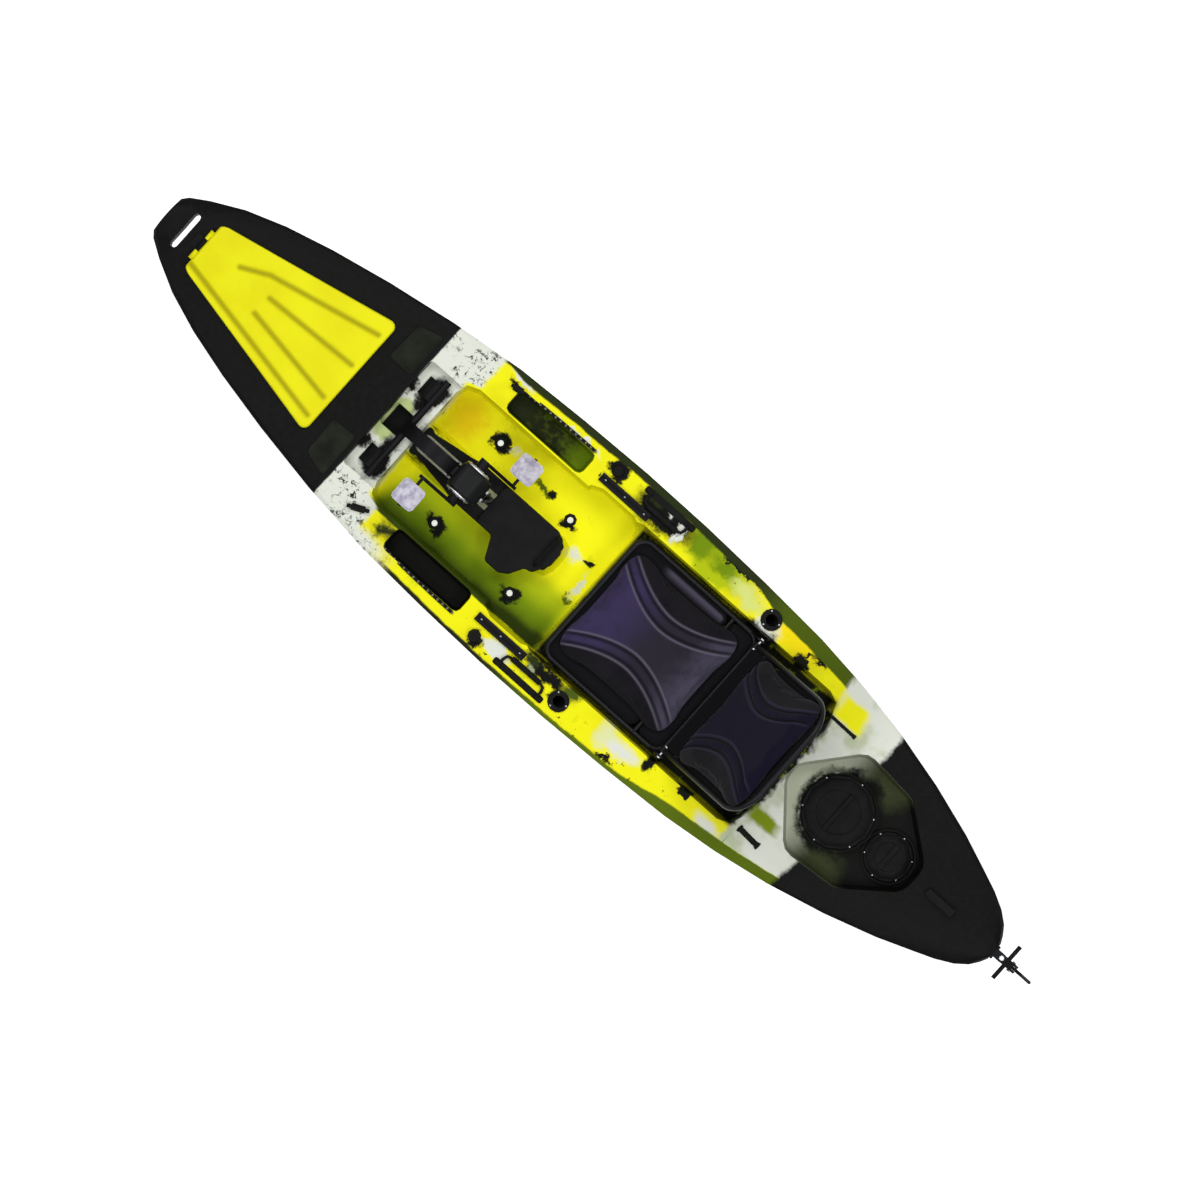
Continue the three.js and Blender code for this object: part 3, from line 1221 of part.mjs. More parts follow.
const finSteps = 4;
const fin = rounded(finShares.map(([dx, dz]) => atCrank([dx, dz])), finCorner, finSteps);
const gearcaseWall = 4.5;
const gearRoomShare = 1.3;
const gearRoom = gearcase.radius - gearcaseWall;
place(kayak, "gearcase", cut(
  joined(
    gearcaseBody,
    loft([legRing({ ...neck, z: gearcase.z }, legHalf * neckShare), legRing(neck, legHalf)]),
    sidePlate(fin, -finHalf, finHalf),
  ),
  bar(lowAt(bearingX + seatGap), lowAt(crank.x + shaftWheel.radius * gearRoomShare), gearRoom, roundCount),
  bar(lowAt(bearingX - overrun), lowAt(bearingX + skin), ringRadius - skin + seatGap, roundCount),
  slab(crank.x - overrun, bearingX - ringLength * halfShare + seatGap, -ringRadius - skin, ringRadius + skin,
    gearcase.z - ringRadius - skin, gearcase.z + ringRadius + skin).intersect(
    bar(lowAt(crank.x - overrun), lowAt(bearingX), ringRadius + seatGap, roundCount)),
  bar(shaftAt(gearcase.z), shaftAt(legFoot + skin), shaftBore, pinCount),
), finish.black);

// Propeller: a tapered hub with two twisted blades, at rest in line with the leg.
const propRadius = 132;
const propPlaceShare = 0.4;
const propX = hubFrontX - hubLength * propPlaceShare;
const hubShares = [[0, 0], [1, 0], [1, 0.45], [0.6, 0.9], [0, 1]];
const bladeShares = [
  [0.1, 0.26, 62, 0.1], [0.3, 0.36, 50, 0.07], [0.5, 0.42, 40, 0.05],
  [0.7, 0.42, 32, 0.04], [0.88, 0.34, 26, 0.03], [1, 0.14, 24, 0.02],
];
const bladeSection = [[-0.5, 0], [-0.25, 0.42], [0.1, 0.5], [0.5, 0], [0.1, -0.5], [-0.25, -0.42]];
const blade = (sign) => loft(bladeShares.map(([radius, chord, angle, thickness]) => {
  const pitch = THREE.MathUtils.degToRad(angle);
  return bladeSection.map(([along, across_]) => {
    const [a, b] = [along * chord * propRadius, across_ * thickness * propRadius];
    return new THREE.Vector3(
      propX + a * Math.sin(pitch) + b * Math.cos(pitch),
      sign * (a * Math.cos(pitch) - b * Math.sin(pitch)),
      gearcase.z + sign * radius * propRadius,
    );
  });
}));
place(kayak, "propeller", cut(
  joined(
    turned(hubShares.map(([out, along]) => [hubRadius * out, hubLength * along]),
      lowAt(hubFrontX), lowAt(hubFrontX - axisStep), roundCount),
    blade(1), blade(-1),
  ),
  bar(lowAt(hubFrontX + skin), lowAt(hubFrontX - hubLength * hubBoreShare - seatGap),
    shaftRadius + seatGap, pinCount),
), finish.black);

// Cranks: an axle through both covers, and an arm with a pedal spindle at each end.
const crankLength = 170;
const crankArmY = 84;
const crankArmThickness = 12;
const crankAngle = 45;
const crankBoss = 20;
const crankTip = 15;
const spindleRadius = 6;
const pedalY = 165;
const pedalHalf = 46;
const pedalReach = 44;
const pedalThickness = 22;
const pedalCorner = 14;
const crankRootShare = 0.8;
const crankEndShare = 0.7;
const pedalRimShare = 0.7;
const pedal = { half: pedalHalf, length: pedalReach, thickness: pedalThickness, corner: pedalCorner };
const axleEnd = crankArmY + crankArmThickness;
place(kayak, "crank_axle", across(-axleEnd, axleEnd, crank.x, crank.z, axleRadius, shaftCount),
  finish.steel);
sides.forEach(([side, sign]) => {
  const lean = THREE.MathUtils.degToRad(crankAngle + (sign > 0 ? 0 : 2 * quarter));
  const tip = { x: crank.x + crankLength * Math.cos(lean), z: crank.z + crankLength * Math.sin(lean) };
  const [inner, outer] = [sign * crankArmY, sign * axleEnd].sort((a, b) => a - b);
  const bossInner = sign * (housingHalf + coverThickness + coverBossHeight + 3 * seatGap);
  const sideways = new THREE.Vector2(-Math.sin(lean), Math.cos(lean));
  const edge = ({ x, z }, r, way) => [x + sideways.x * r * way, z + sideways.y * r * way];
  const [root, end] = [crankBoss * crankRootShare, crankTip * crankEndShare];
  const armPlan = rounded([
    edge(crank, root, 1), edge(crank, root, -1), edge(tip, end, -1), edge(tip, end, 1),
  ], skin, chamferSteps);
  const spindleEnd = sign * (pedalY + pedal.length + skin);
  place(kayak, `crank_arm_${side}`, cut(
    joined(
      sidePlate(armPlan, inner, outer),
      across(bossInner, sign * axleEnd, crank.x, crank.z, crankBoss, roundCount),
      across(inner, outer, tip.x, tip.z, crankTip, shaftCount),
      across(sign * crankArmY, spindleEnd, tip.x, tip.z, spindleRadius, spindleCount),
    ),
    across(-overrun, overrun, crank.x, crank.z, axleRadius + seatGap, shaftCount),
  ), finish.black);
  const [near, far] = [sign * (pedalY - pedal.length), sign * (pedalY + pedal.length)].sort((a, b) => a - b);
  const platform = (inset, half) => prism(
    rectangle(tip.x - pedal.half + inset, tip.x + pedal.half - inset, near + inset, far - inset,
      pedal.corner),
    tip.z - half, tip.z + half);
  const half = pedal.thickness / 2;
  place(kayak, `pedal_${side}`, cut(
    joined(platform(0, half * pedalRimShare), platform(skin, half)),
    across(sign * (crankArmY - overrun), spindleEnd + sign * overrun, tip.x, tip.z,
      spindleRadius + seatGap * 2, shaftCount),
  ), finish.pedal);
});

// Mounting arm: an arched, pierced arm bolted to the housing, whose cross tube rests in two saddles.
const crossTubeBack = 105;
const crossTubeDrop = 61;
const crossTubeHalf = 210;
const crossTubeRadius = 13.5;
const tBar = {
  x: stepFrontX - crossTubeBack, z: crank.z - crossTubeDrop, half: crossTubeHalf, radius: crossTubeRadius,
};
const armHalf = 26;
const armDepth = 40;
const armTaperShare = 0.78;
const armSteps = 12;
const armHoles = 5;
const armRise = 96;
const armHoleStart = 0.95;
const armHoleEnd = 1.6;
const armHoleMargin = 1.3;
const armHoleShare = 0.52;
const tubeEyeShare = 0.9;
const forkRoomShare = 1.5;
const boltHeadShare = 1.7;
const armCurve = new THREE.QuadraticBezierCurve(
  new THREE.Vector2(hingeLug.x, hingeLug.z),
  new THREE.Vector2((hingeLug.x + tBar.x) / 2, hingeLug.z + armRise),
  new THREE.Vector2(tBar.x, tBar.z),
);
const armSpot = (t, offset) => {
  const tangent = armCurve.getTangent(t);
  return armCurve.getPoint(t).add(new THREE.Vector2(-tangent.y, tangent.x).multiplyScalar(offset));
};
const armWidthAt = (t) => (armDepth * THREE.MathUtils.lerp(1, armTaperShare, t)) / 2;
const armTimes = Array.from({ length: armSteps + 1 }, (_, i) => i / armSteps);
const armOutline = [
  ...armTimes.map((t) => armSpot(t, -armWidthAt(t))),
  ...[...armTimes].reverse().map((t) => armSpot(t, armWidthAt(t))),
];
const armWindows = Array.from({ length: armHoles }, (_, i) => {
  const [t0, t1] = [armHoleStart, armHoleEnd].map((start) => (i + start) / (armHoles + armHoleMargin));
  const reach = armWidthAt(t0) * armHoleShare;
  const corners = [armSpot(t0, -reach), armSpot(t1, -reach), armSpot(t1, reach), armSpot(t0, reach)];
  return sidePlate(rounded(corners.map((p) => [p.x, p.y]), skin), -overrun, overrun);
});
const lugGap = hingeLug.half + seatGap;
const armPlate = sidePlate(armOutline, -armHalf, armHalf);
const forkEyes = across(-armHalf, armHalf, hingeLug.x, hingeLug.z, hingeLug.radius + skin, roundCount);
const tubeEye = across(-armHalf, armHalf, tBar.x, tBar.z, tBar.radius + skin * tubeEyeShare, roundCount);
place(kayak, "mounting_arm", cut(
  joined(armPlate, forkEyes, tubeEye),
  ...armWindows,
  across(-lugGap, lugGap, hingeLug.x, hingeLug.z, hingeLug.radius * forkRoomShare, roundCount),
  sidePlate(grown(bodyPlan, seatGap * 3), -overrun, overrun),
  across(-overrun, overrun, hingeLug.x, hingeLug.z, hingeLug.bolt + seatGap, pinCount),
  across(-overrun, overrun, tBar.x, tBar.z, tBar.radius + seatGap, roundCount),
), finish.black);
const armBoltHead = hingeLug.bolt * boltHeadShare;
place(kayak, "arm_hinge_bolt", joined(
  across(-armHalf - skin, armHalf + skin, hingeLug.x, hingeLug.z, hingeLug.bolt, pinCount),
  across(armHalf + seatGap, armHalf + skin, hingeLug.x, hingeLug.z, armBoltHead, hexCount),
  across(-armHalf - skin, -armHalf - seatGap, hingeLug.x, hingeLug.z, armBoltHead, hexCount),
), finish.steel);
const tubeWall = 2;
const tubeInner = tBar.radius - tubeWall;
place(kayak, "arm_cross_tube", turned([
  [tubeInner, 0], [tBar.radius, 0], [tBar.radius, tBar.half * 2], [tubeInner, tBar.half * 2], [tubeInner, 0],
], [tBar.x, -tBar.half, tBar.z], [tBar.x, 0, tBar.z], roundCount), finish.frame);
const saddleHalf = 36;
const saddleY = 150;
const saddleFront = 62;
const saddleBack = 22;
const saddleWall = 12;
const saddleCorner = 3;
const saddleToeShare = 1.6;
const saddleMouthShare = 0.8;
const saddle = { half: saddleHalf, y: saddleY, front: saddleFront, back: saddleBack, wall: saddleWall };
sides.forEach(([side, sign]) => {
  const low = ledgeZ + seatGap;
  const [x0, x1] = [tBar.x - saddle.back, tBar.x + saddle.front];
  const profile = rounded([
    [x0, low], [x0, tBar.z], [tBar.x + tBar.radius + saddle.wall, tBar.z + saddle.wall],
    [x1 - saddle.wall, low + saddle.wall * saddleToeShare], [x1, low],
  ], saddleCorner, chamferSteps);
  const mouth = tBar.radius * saddleMouthShare;
  place(kayak, `tube_saddle_${side}`, cut(
    sidePlate(profile, sign * saddle.y - saddle.half, sign * saddle.y + saddle.half),
    across(-overrun, overrun, tBar.x, tBar.z, tBar.radius + seatGap, roundCount),
    slab(tBar.x - mouth, tBar.x + mouth, -overrun, overrun, tBar.z, tBar.z + overrun),
  ), finish.black);
});

// Rudder: a bracket on the stern, a steering head on an upright pin, and a blade that kicks up.
const rudderPinBack = 34;
const rudderFoot = 262;
const rudderHeight = 74;
const rudderPinRadius = 5;
const rudderLug = 16;
const rudderLugThickness = 10;
const rudderBladeHalf = 6;
const lugCornerShare = 0.9;
const rudder = {
  pinX: sternX - rudderPinBack, z0: rudderFoot, z1: rudderFoot + rudderHeight, pin: rudderPinRadius,
  lug: rudderLug, lugThickness: rudderLugThickness, bladeHalf: rudderBladeHalf,
};
const pinAt = (z) => [rudder.pinX, 0, z];
const plateThickness = 8;
const plateHalf = 26;
const plateX = sternX - seatGap;
const lugAftX = rudder.pinX - rudder.lug;
const lugOutline = rounded([
  [plateX, -rudder.lug], [plateX, rudder.lug], [lugAftX, rudder.lug], [lugAftX, -rudder.lug],
], rudder.lug * lugCornerShare, fineSteps);
const lugLevels = [rudder.z0, rudder.z1 - rudder.lugThickness];
const pinHole = bar(pinAt(-overrun), pinAt(overrun * 2), rudder.pin + seatGap, pinCount);
place(kayak, "rudder_bracket", cut(
  joined(
    slab(plateX - plateThickness, plateX, -plateHalf, plateHalf, rudder.z0 - skin, rudder.z1 + skin),
    ...lugLevels.map((z) => prism(lugOutline, z, z + rudder.lugThickness)),
    ...lugLevels.map((z) =>
      slab(plateX - rudder.lug, plateX, -rudder.lug, rudder.lug, z, z + rudder.lugThickness)),
  ),
  pinHole,
), finish.black);
const rudderPinHead = rudder.pin * boltHeadShare;
place(kayak, "rudder_pin", joined(
  bar(pinAt(rudder.z0 - skin), pinAt(rudder.z1 + skin), rudder.pin, pinCount),
  bar(pinAt(rudder.z1 + seatGap), pinAt(rudder.z1 + skin), rudderPinHead, pinCount),
  bar(pinAt(rudder.z0 - skin), pinAt(rudder.z0 - seatGap), rudderPinHead, pinCount),
), finish.steel);

const headLow = rudder.z0 + rudder.lugThickness + seatGap;
const headHigh = rudder.z1 - rudder.lugThickness - seatGap;
const headBarrel = 14;
const headSetback = 1.5;
const headEdge = 1;
const cheekHalf = 15;
const yokeHalf = 71;
const yokeBack = 23;
const yokeRadius = 8;
const yoke = { half: yokeHalf, x: rudder.pinX - yokeBack, radius: yokeRadius };
const bladeBoltBack = 24;
const bladeBoltRise = 6;
const bladeBoltRadius = 4.5;
const bladeEyeRadius = 20;
const bladeBoltHeadShare = 1.8;
const bladeBolt = {
  x: yoke.x - bladeBoltBack, z: rudder.z0 + bladeBoltRise, radius: bladeBoltRadius, eye: bladeEyeRadius,
};
const [eyeAftX, eyeForeX] = [bladeBolt.x - bladeBolt.eye, bladeBolt.x + bladeBolt.eye];
const [eyeLowZ, eyeTopZ] = [bladeBolt.z - bladeBolt.eye, bladeBolt.z + bladeBolt.eye];
const cheeks = sidePlate(rounded([
  [rudder.pinX, headLow], [rudder.pinX, headHigh], [yoke.x - yoke.radius, headHigh],
  [eyeAftX, eyeTopZ], [eyeAftX, eyeLowZ], [eyeForeX, eyeLowZ], [lugAftX - headSetback, headLow, headEdge],
], skin * 2), -cheekHalf, cheekHalf);
const bladeSlot = rudder.bladeHalf + seatGap;
const bladeRoom = bladeBolt.eye + skin;
place(kayak, "rudder_head", cut(
  joined(
    bar(pinAt(headLow), pinAt(headHigh), headBarrel, shaftCount),
    cheeks,
    across(-yoke.half, yoke.half, yoke.x, headHigh - yoke.radius, yoke.radius, spindleCount),
  ),
  pinHole,
  slab(bladeBolt.x - overrun, bladeBolt.x + bladeRoom, -bladeSlot, bladeSlot,
    -overrun, bladeBolt.z + bladeRoom),
  slab(bladeBolt.x - overrun, bladeBolt.x, -bladeSlot, bladeSlot, bladeBolt.z, overrun),
  across(-overrun, overrun, bladeBolt.x, bladeBolt.z, bladeBolt.radius + seatGap, pinCount),
), finish.black);
const bladeBoltHead = bladeBolt.radius * bladeBoltHeadShare;
place(kayak, "rudder_bolt", joined(
  across(-cheekHalf - skin, cheekHalf + skin, bladeBolt.x, bladeBolt.z, bladeBolt.radius, pinCount),
  across(cheekHalf + seatGap, cheekHalf + skin, bladeBolt.x, bladeBolt.z, bladeBoltHead, hexCount),
  across(-cheekHalf - skin, -cheekHalf - seatGap, bladeBolt.x, bladeBolt.z, bladeBoltHead, hexCount),
), finish.steel);
const bladeLength = 345;
const bladeChord = 104;
const bladeShapeShares = [
  [0.16, 0], [0.12, -0.3], [-0.02, -0.97], [-0.3, -1], [-0.8, -0.62], [-0.9, -0.28], [-0.42, -0.04],
];
const bladeCorner = 24;
const bladeFlatShare = 0.2;
const bladeEdge = 4;
const bladeCorners = bladeShapeShares.map(([x, z]) =>
  [bladeBolt.x + x * bladeChord, bladeBolt.z + z * bladeLength]);
const bladeOutline = rounded(bladeCorners, bladeCorner, fineSteps);
const bladeEye = across(
  -rudder.bladeHalf, rudder.bladeHalf, bladeBolt.x, bladeBolt.z, bladeBolt.eye, roundCount);
const bladeFlat = rudder.bladeHalf * bladeFlatShare;
const bladeSlices = [
  [-rudder.bladeHalf, bladeEdge], [-bladeFlat, 0], [bladeFlat, 0], [rudder.bladeHalf, bladeEdge],
];
const bladeBody = loft(bladeSlices.map(([y, inset]) =>
  grown(bladeOutline, -inset).map((p) => new THREE.Vector3(p.x, y, p.y))));
place(kayak, "rudder_blade", cut(
  bladeBody.add(bladeEye),
  across(-overrun, overrun, bladeBolt.x, bladeBolt.z, bladeBolt.radius + seatGap, pinCount),
), finish.black);

export default kayak;
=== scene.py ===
"""A sit-on-top fishing kayak with a framed seat, a geared pedal drive and a kick-up rudder, from above."""
import json
import math

import bmesh
import bpy
import numpy as np
from mathutils import Matrix, Vector
from mathutils.bvhtree import BVHTree

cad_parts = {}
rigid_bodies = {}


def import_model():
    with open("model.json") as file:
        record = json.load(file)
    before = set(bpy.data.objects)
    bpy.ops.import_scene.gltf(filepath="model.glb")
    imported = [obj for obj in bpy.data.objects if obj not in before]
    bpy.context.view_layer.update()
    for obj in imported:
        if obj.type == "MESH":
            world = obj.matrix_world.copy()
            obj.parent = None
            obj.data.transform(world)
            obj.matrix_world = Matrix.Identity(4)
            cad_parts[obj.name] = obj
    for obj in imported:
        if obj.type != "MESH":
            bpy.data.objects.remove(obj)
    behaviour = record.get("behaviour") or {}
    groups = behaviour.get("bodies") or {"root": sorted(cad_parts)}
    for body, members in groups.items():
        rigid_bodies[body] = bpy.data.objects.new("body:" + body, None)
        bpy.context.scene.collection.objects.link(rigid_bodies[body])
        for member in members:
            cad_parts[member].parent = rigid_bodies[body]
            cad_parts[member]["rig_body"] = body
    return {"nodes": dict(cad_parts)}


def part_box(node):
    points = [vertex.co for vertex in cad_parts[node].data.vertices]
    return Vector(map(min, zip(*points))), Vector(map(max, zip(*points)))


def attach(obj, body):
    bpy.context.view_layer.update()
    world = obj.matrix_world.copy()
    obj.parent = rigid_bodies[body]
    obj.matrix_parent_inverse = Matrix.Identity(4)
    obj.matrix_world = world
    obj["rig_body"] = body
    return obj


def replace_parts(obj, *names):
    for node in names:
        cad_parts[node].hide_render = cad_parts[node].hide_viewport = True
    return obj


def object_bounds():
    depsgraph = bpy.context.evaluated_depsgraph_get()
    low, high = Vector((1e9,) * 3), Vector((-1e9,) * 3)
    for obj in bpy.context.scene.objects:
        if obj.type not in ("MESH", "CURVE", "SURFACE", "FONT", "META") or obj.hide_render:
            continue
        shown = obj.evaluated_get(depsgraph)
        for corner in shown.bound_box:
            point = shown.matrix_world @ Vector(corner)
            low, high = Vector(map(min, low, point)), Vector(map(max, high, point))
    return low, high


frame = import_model()
cad_box = [list(corner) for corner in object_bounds()]
scene = bpy.context.scene

# Camera: straight above the kayak, turned so that the bow points to the upper left.
# A very long lens from far away shows the hull in plan, as in a catalogue picture.
lens_length, camera_height = 316, 36
view_middle, bow_bearing = -0.087, 221.72
camera = bpy.data.objects.new("overhead_camera", bpy.data.cameras.new("overhead_camera"))
camera.data.lens = lens_length
camera.data.clip_end = camera_height * 2.5
camera.location = (view_middle, 0, camera_height)
camera.rotation_euler = (0, 0, math.radians(bow_bearing))
scene.collection.objects.link(camera)
scene.camera = camera


# Studio: a pale floor under the drive leg, and soft lamps high off the bow, the stern and both sides.
# The floor and the world show white to the camera and in reflections, and light the kayak at a plain level;
# under the drive slot the floor's glow is left out, a painted shadow seen through the slot.
class Shade:
    """One socket of a finish, so that shader maths reads as sums."""

    def __init__(self, finish, socket):
        self.finish = finish
        self.socket = socket

    def op(self, operation, *values):
        return self.finish.node("ShaderNodeMath", enumerate(values), operation=operation)

    def __add__(self, other):
        return self.op("ADD", self, other)

    __radd__ = __add__

    def __sub__(self, other):
        return self.op("SUBTRACT", self, other)

    def __rsub__(self, other):
        return self.op("SUBTRACT", other, self)

    def __mul__(self, other):
        return self.op("MULTIPLY", self, other)

    __rmul__ = __mul__

    def __abs__(self):
        return self.op("ABSOLUTE", self)

    def within(self, low, high):
        """0 below low, 1 above high, and a soft step between."""
        values = {"Value": self, "From Min": low, "From Max": high}
        return self.finish.node("ShaderNodeMapRange", values, interpolation_type="SMOOTHSTEP")

    def below(self, low, high):
        return 1 - self.within(low, high)

    def band(self, start, full, fading, end):
        """1 from full to fading, and a soft step on both sides."""
        return self.within(start, full) * self.below(fading, end)

    def most(self, other):
        return self.op("MAXIMUM", self, other)

    def least(self, other):
        return self.op("MINIMUM", self, other)


class Finish:
    """A material named for what the maker would call it, with one Principled shader."""

    def __init__(self, name, slot=None, metallic=0.0, specular=0.5):
        self.slot = slot
        self.material = bpy.data.materials.new(name)
        self.material.use_nodes = True
        self.tree = self.material.node_tree
        self.shader = self.tree.nodes["Principled BSDF"]
        self.set("Specular IOR Level", specular)
        self.set("Metallic", metallic)

    def node(self, kind, values=(), output=0, **settings):
        made = self.tree.nodes.new(kind)
        for key, setting in settings.items():
            setattr(made, key, setting)
        for key, value in (values.items() if isinstance(values, dict) else values):
            self.plug(made.inputs[key], value)
        return Shade(self, made.outputs[output])

    def plug(self, socket, value):
        if isinstance(value, Shade):
            self.tree.links.new(value.socket, socket)
        elif socket.type == "RGBA" and len(value) == 3:
            socket.default_value = (*value, 1)
        else:
            socket.default_value = value

    def set(self, name, value):
        self.plug(self.shader.inputs[name], value)

    def place(self):
        return self.node("ShaderNodeTexCoord", output="Object")

    def along(self, axis):
        return self.node("ShaderNodeSeparateXYZ", {0: self.place()}, output=axis)

    def noise(self, scale, detail=3, rough=0.6, stretch=(1, 1, 1), shift=(0, 0, 0), warp=0.0):
        where = self.node("ShaderNodeMapping", {"Vector": self.place(), "Scale": stretch, "Location": shift})
        values = {"Vector": where, "Scale": scale, "Detail": detail, "Roughness": rough, "Distortion": warp}
        return self.node("ShaderNodeTexNoise", values)

    def cells(self, scale, random):
        """The distance to the middle of the nearest cell, for weaves and studs."""
        values = {"Vector": self.place(), "Scale": scale, "Randomness": random}
        return self.node("ShaderNodeTexVoronoi", values, output="Distance")

    def mix(self, mask, first, second):
        return self.node("ShaderNodeMix", {0: mask, 6: first, 7: second}, output=2, data_type="RGBA")

    def marked(self, label):
        """A value that the mesh carries at each of its points."""
        return self.node("ShaderNodeAttribute", attribute_name=label, output="Fac")

    def surface(self, colour, roughness, relief, strength, depth):
        """Give the finish its colour, roughness and relief, each a plain value or a pattern."""
        self.set("Base Color", colour)
        self.set("Roughness", roughness)
        values = {"Height": relief, "Strength": strength, "Distance": depth}
        self.set("Normal", self.node("ShaderNodeBump", values))


class Sky(Finish):
    """The world's shader, put together in the same way as a finish."""

    def __init__(self, world):
        self.tree = world.node_tree


def standing(name, shape):
    """An object of the scene with the finished mesh."""
    thing = bpy.data.objects.new(name, bpy.data.meshes.new(name))
    shape.to_mesh(thing.data)
    shape.free()
    scene.collection.objects.link(thing)
    return thing


sky_tint, sky_strength, floor_glow = (0.95, 0.97, 1, 1), 0.34, 0.62
lamp_size, lamp_target = 1.5, Vector((0, 0, 0.2))
floor_half, floor_gap = 40, 0.002
leg_x = 0.52
scene.view_settings.view_transform = "Standard"
world = bpy.data.worlds.new("studio")
scene.world = world
world.use_nodes = True
sky = Sky(world)
ambient = sky.tree.nodes["Background"]
ambient.inputs["Color"].default_value = sky_tint
ambient.inputs["Strength"].default_value = sky_strength
camera_ray, glossy_ray, clear_ray = (
    sky.node("ShaderNodeLightPath", output=f"Is {kind} Ray") for kind in ("Camera", "Glossy", "Transmission"))
backdrop = sky.node("ShaderNodeBackground", {"Color": (1, 1, 1)})
seen = camera_ray.most(glossy_ray).most(clear_ray)
choice = sky.node("ShaderNodeMixShader", [(0, seen), (1, Shade(sky, ambient.outputs[0])), (2, backdrop)])
sky.plug(sky.tree.nodes["World Output"].inputs["Surface"], choice)
for name, spot, power in [
    ("bow_lamp", (2.5, -1.0, 5.0), 78), ("stern_lamp", (-2.5, 1.0, 5.0), 71),
    ("port_lamp", (0.4, 2.3, 4.8), 57), ("starboard_lamp", (-0.4, -2.3, 4.8), 64),
]:
    lamp = bpy.data.objects.new(name, bpy.data.lights.new(name, "AREA"))
    lamp.data.size = lamp_size
    lamp.data.energy = power
    lamp.location = spot
    lamp.rotation_euler = (lamp_target - Vector(spot)).to_track_quat("-Z", "Y").to_euler()
    scene.collection.objects.link(lamp)
ground = bmesh.new()
bmesh.ops.create_grid(ground, x_segments=1, y_segments=1, size=floor_half)
bmesh.ops.translate(ground, verts=ground.verts, vec=(0, 0, cad_box[0][2] - floor_gap))
floor = standing("studio_floor", ground)
pale = Finish("pale_floor", specular=0.1)
pale.set("Base Color", (0.9, 0.9, 0.9))
pale.set("Roughness", 0.9)
# Painted shadow: the floor loses its glow under the drive leg, so the slot shows shade below the hull.
leg_shadow = abs(pale.along("Y")).below(0.04, 0.11) * abs(pale.along("X") - leg_x).below(0.26, 0.4)
glow = pale.node("ShaderNodeEmission", {"Strength": floor_glow * (1 - leg_shadow)})
plain = Shade(pale, pale.shader.outputs[0])
lit = pale.node("ShaderNodeAddShader", [(0, plain), (1, glow)])
camera_ray, glossy_ray = (
    pale.node("ShaderNodeLightPath", output=f"Is {kind} Ray") for kind in ("Camera", "Glossy"))
shown = pale.node("ShaderNodeMixShader", [(0, camera_ray.most(glossy_ray)), (1, plain), (2, lit)])
pale.plug(pale.tree.nodes["Material Output"].inputs["Surface"], shown)
floor.data.materials.append(pale.material)


# Hull: one rotomoulded polyethylene shell, marbled from powders of yellow, green, black and white.
# The powders melt side by side in the mould, so the colours run into each other with ragged edges.
# Its skin has the fine orange peel of the process, and every edge of a well is rounded.
def paint(red, green, blue):
    """A colour as the eye sees it, 0 to 255, turned into the linear light that a shader wants."""
    return tuple(((v / 255 + 0.055) / 1.055) ** 2.4 if v > 10 else v / 3295 for v in (red, green, blue))


def added(name, shape, finish, body="hull_body", sharp=None):
    """The finished mesh as a piece of the kayak, riding on one of its bodies."""
    piece = standing(name, shape)
    if sharp:
        piece.data.shade_smooth()
        piece.data.set_sharp_from_angle(angle=math.radians(sharp))
    piece.data.materials.append(finish.material)
    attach(piece, body)
    return piece


def welded(node):
    """A copy of a CAD solid's mesh, with its loose triangles joined."""
    shape = bmesh.new()
    shape.from_mesh(frame["nodes"][node].data)
    bmesh.ops.remove_doubles(shape, verts=shape.verts, dist=1e-5)
    return shape


def modified(piece, name, kind, **settings):
    """Give a piece one modifier with its settings."""
    modifier = piece.modifiers.new(name, kind)
    for key, setting in settings.items():
        setattr(modifier, key, setting)


def moulded(node, name, finish, bevel, crease=38, segments=2, prepare=()):
    """A CAD solid with rounded edges and smooth curves, which takes the bare solid's place."""
    shape = welded(node)
    for step in prepare:
        step(shape)
    bmesh.ops.dissolve_limit(shape, angle_limit=math.radians(0.04), verts=shape.verts, edges=shape.edges)
    bmesh.ops.triangulate(shape, faces=shape.faces, quad_method="BEAUTY", ngon_method="BEAUTY")
    for face in shape.faces:
        face.smooth = True
    piece = added(name, shape, finish, frame["nodes"][node]["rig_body"])
    modified(
        piece, "rounded_edges", "BEVEL", width=bevel, segments=segments, limit_method="ANGLE",
        angle_limit=math.radians(crease), use_clamp_overlap=True, miter_outer="MITER_ARC")
    modified(piece, "even_shading", "WEIGHTED_NORMAL", keep_sharp=True)
    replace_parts(piece, node)


yellow, lime, green, olive = paint(232, 228, 18), paint(170, 184, 12), paint(108, 134, 6), paint(62, 78, 6)
black, white, mist = paint(7, 8, 6), paint(214, 217, 205), paint(166, 176, 134)
dusk, moss = paint(38, 46, 14), paint(84, 100, 10)
sheer, stir = 0.302, 0.12
marbled = Finish("marbled_polyethylene", "hull_plastic", specular=0.05)
x, y, z = (marbled.along(axis) for axis in "XYZ")
port_half = y.within(-0.02, 0.02)
rim = marbled.marked("rim")
fine, patchy = marbled.noise(52, 4, 0.7), marbled.noise(8, 4, 0.62, warp=0.6)
ragged = (patchy - 0.5) * 0.05 + (fine - 0.5) * 0.012
eddies = {"Vector": marbled.place(), "Scale": 13, "Detail": 5, "Roughness": 0.72}
sway = marbled.node("ShaderNodeTexNoise", eddies, output="Color")
swirl = marbled.node(
    "ShaderNodeVectorMath", {0: sway, 1: (stir, stir, 0), 2: marbled.place()}, operation="MULTIPLY_ADD")


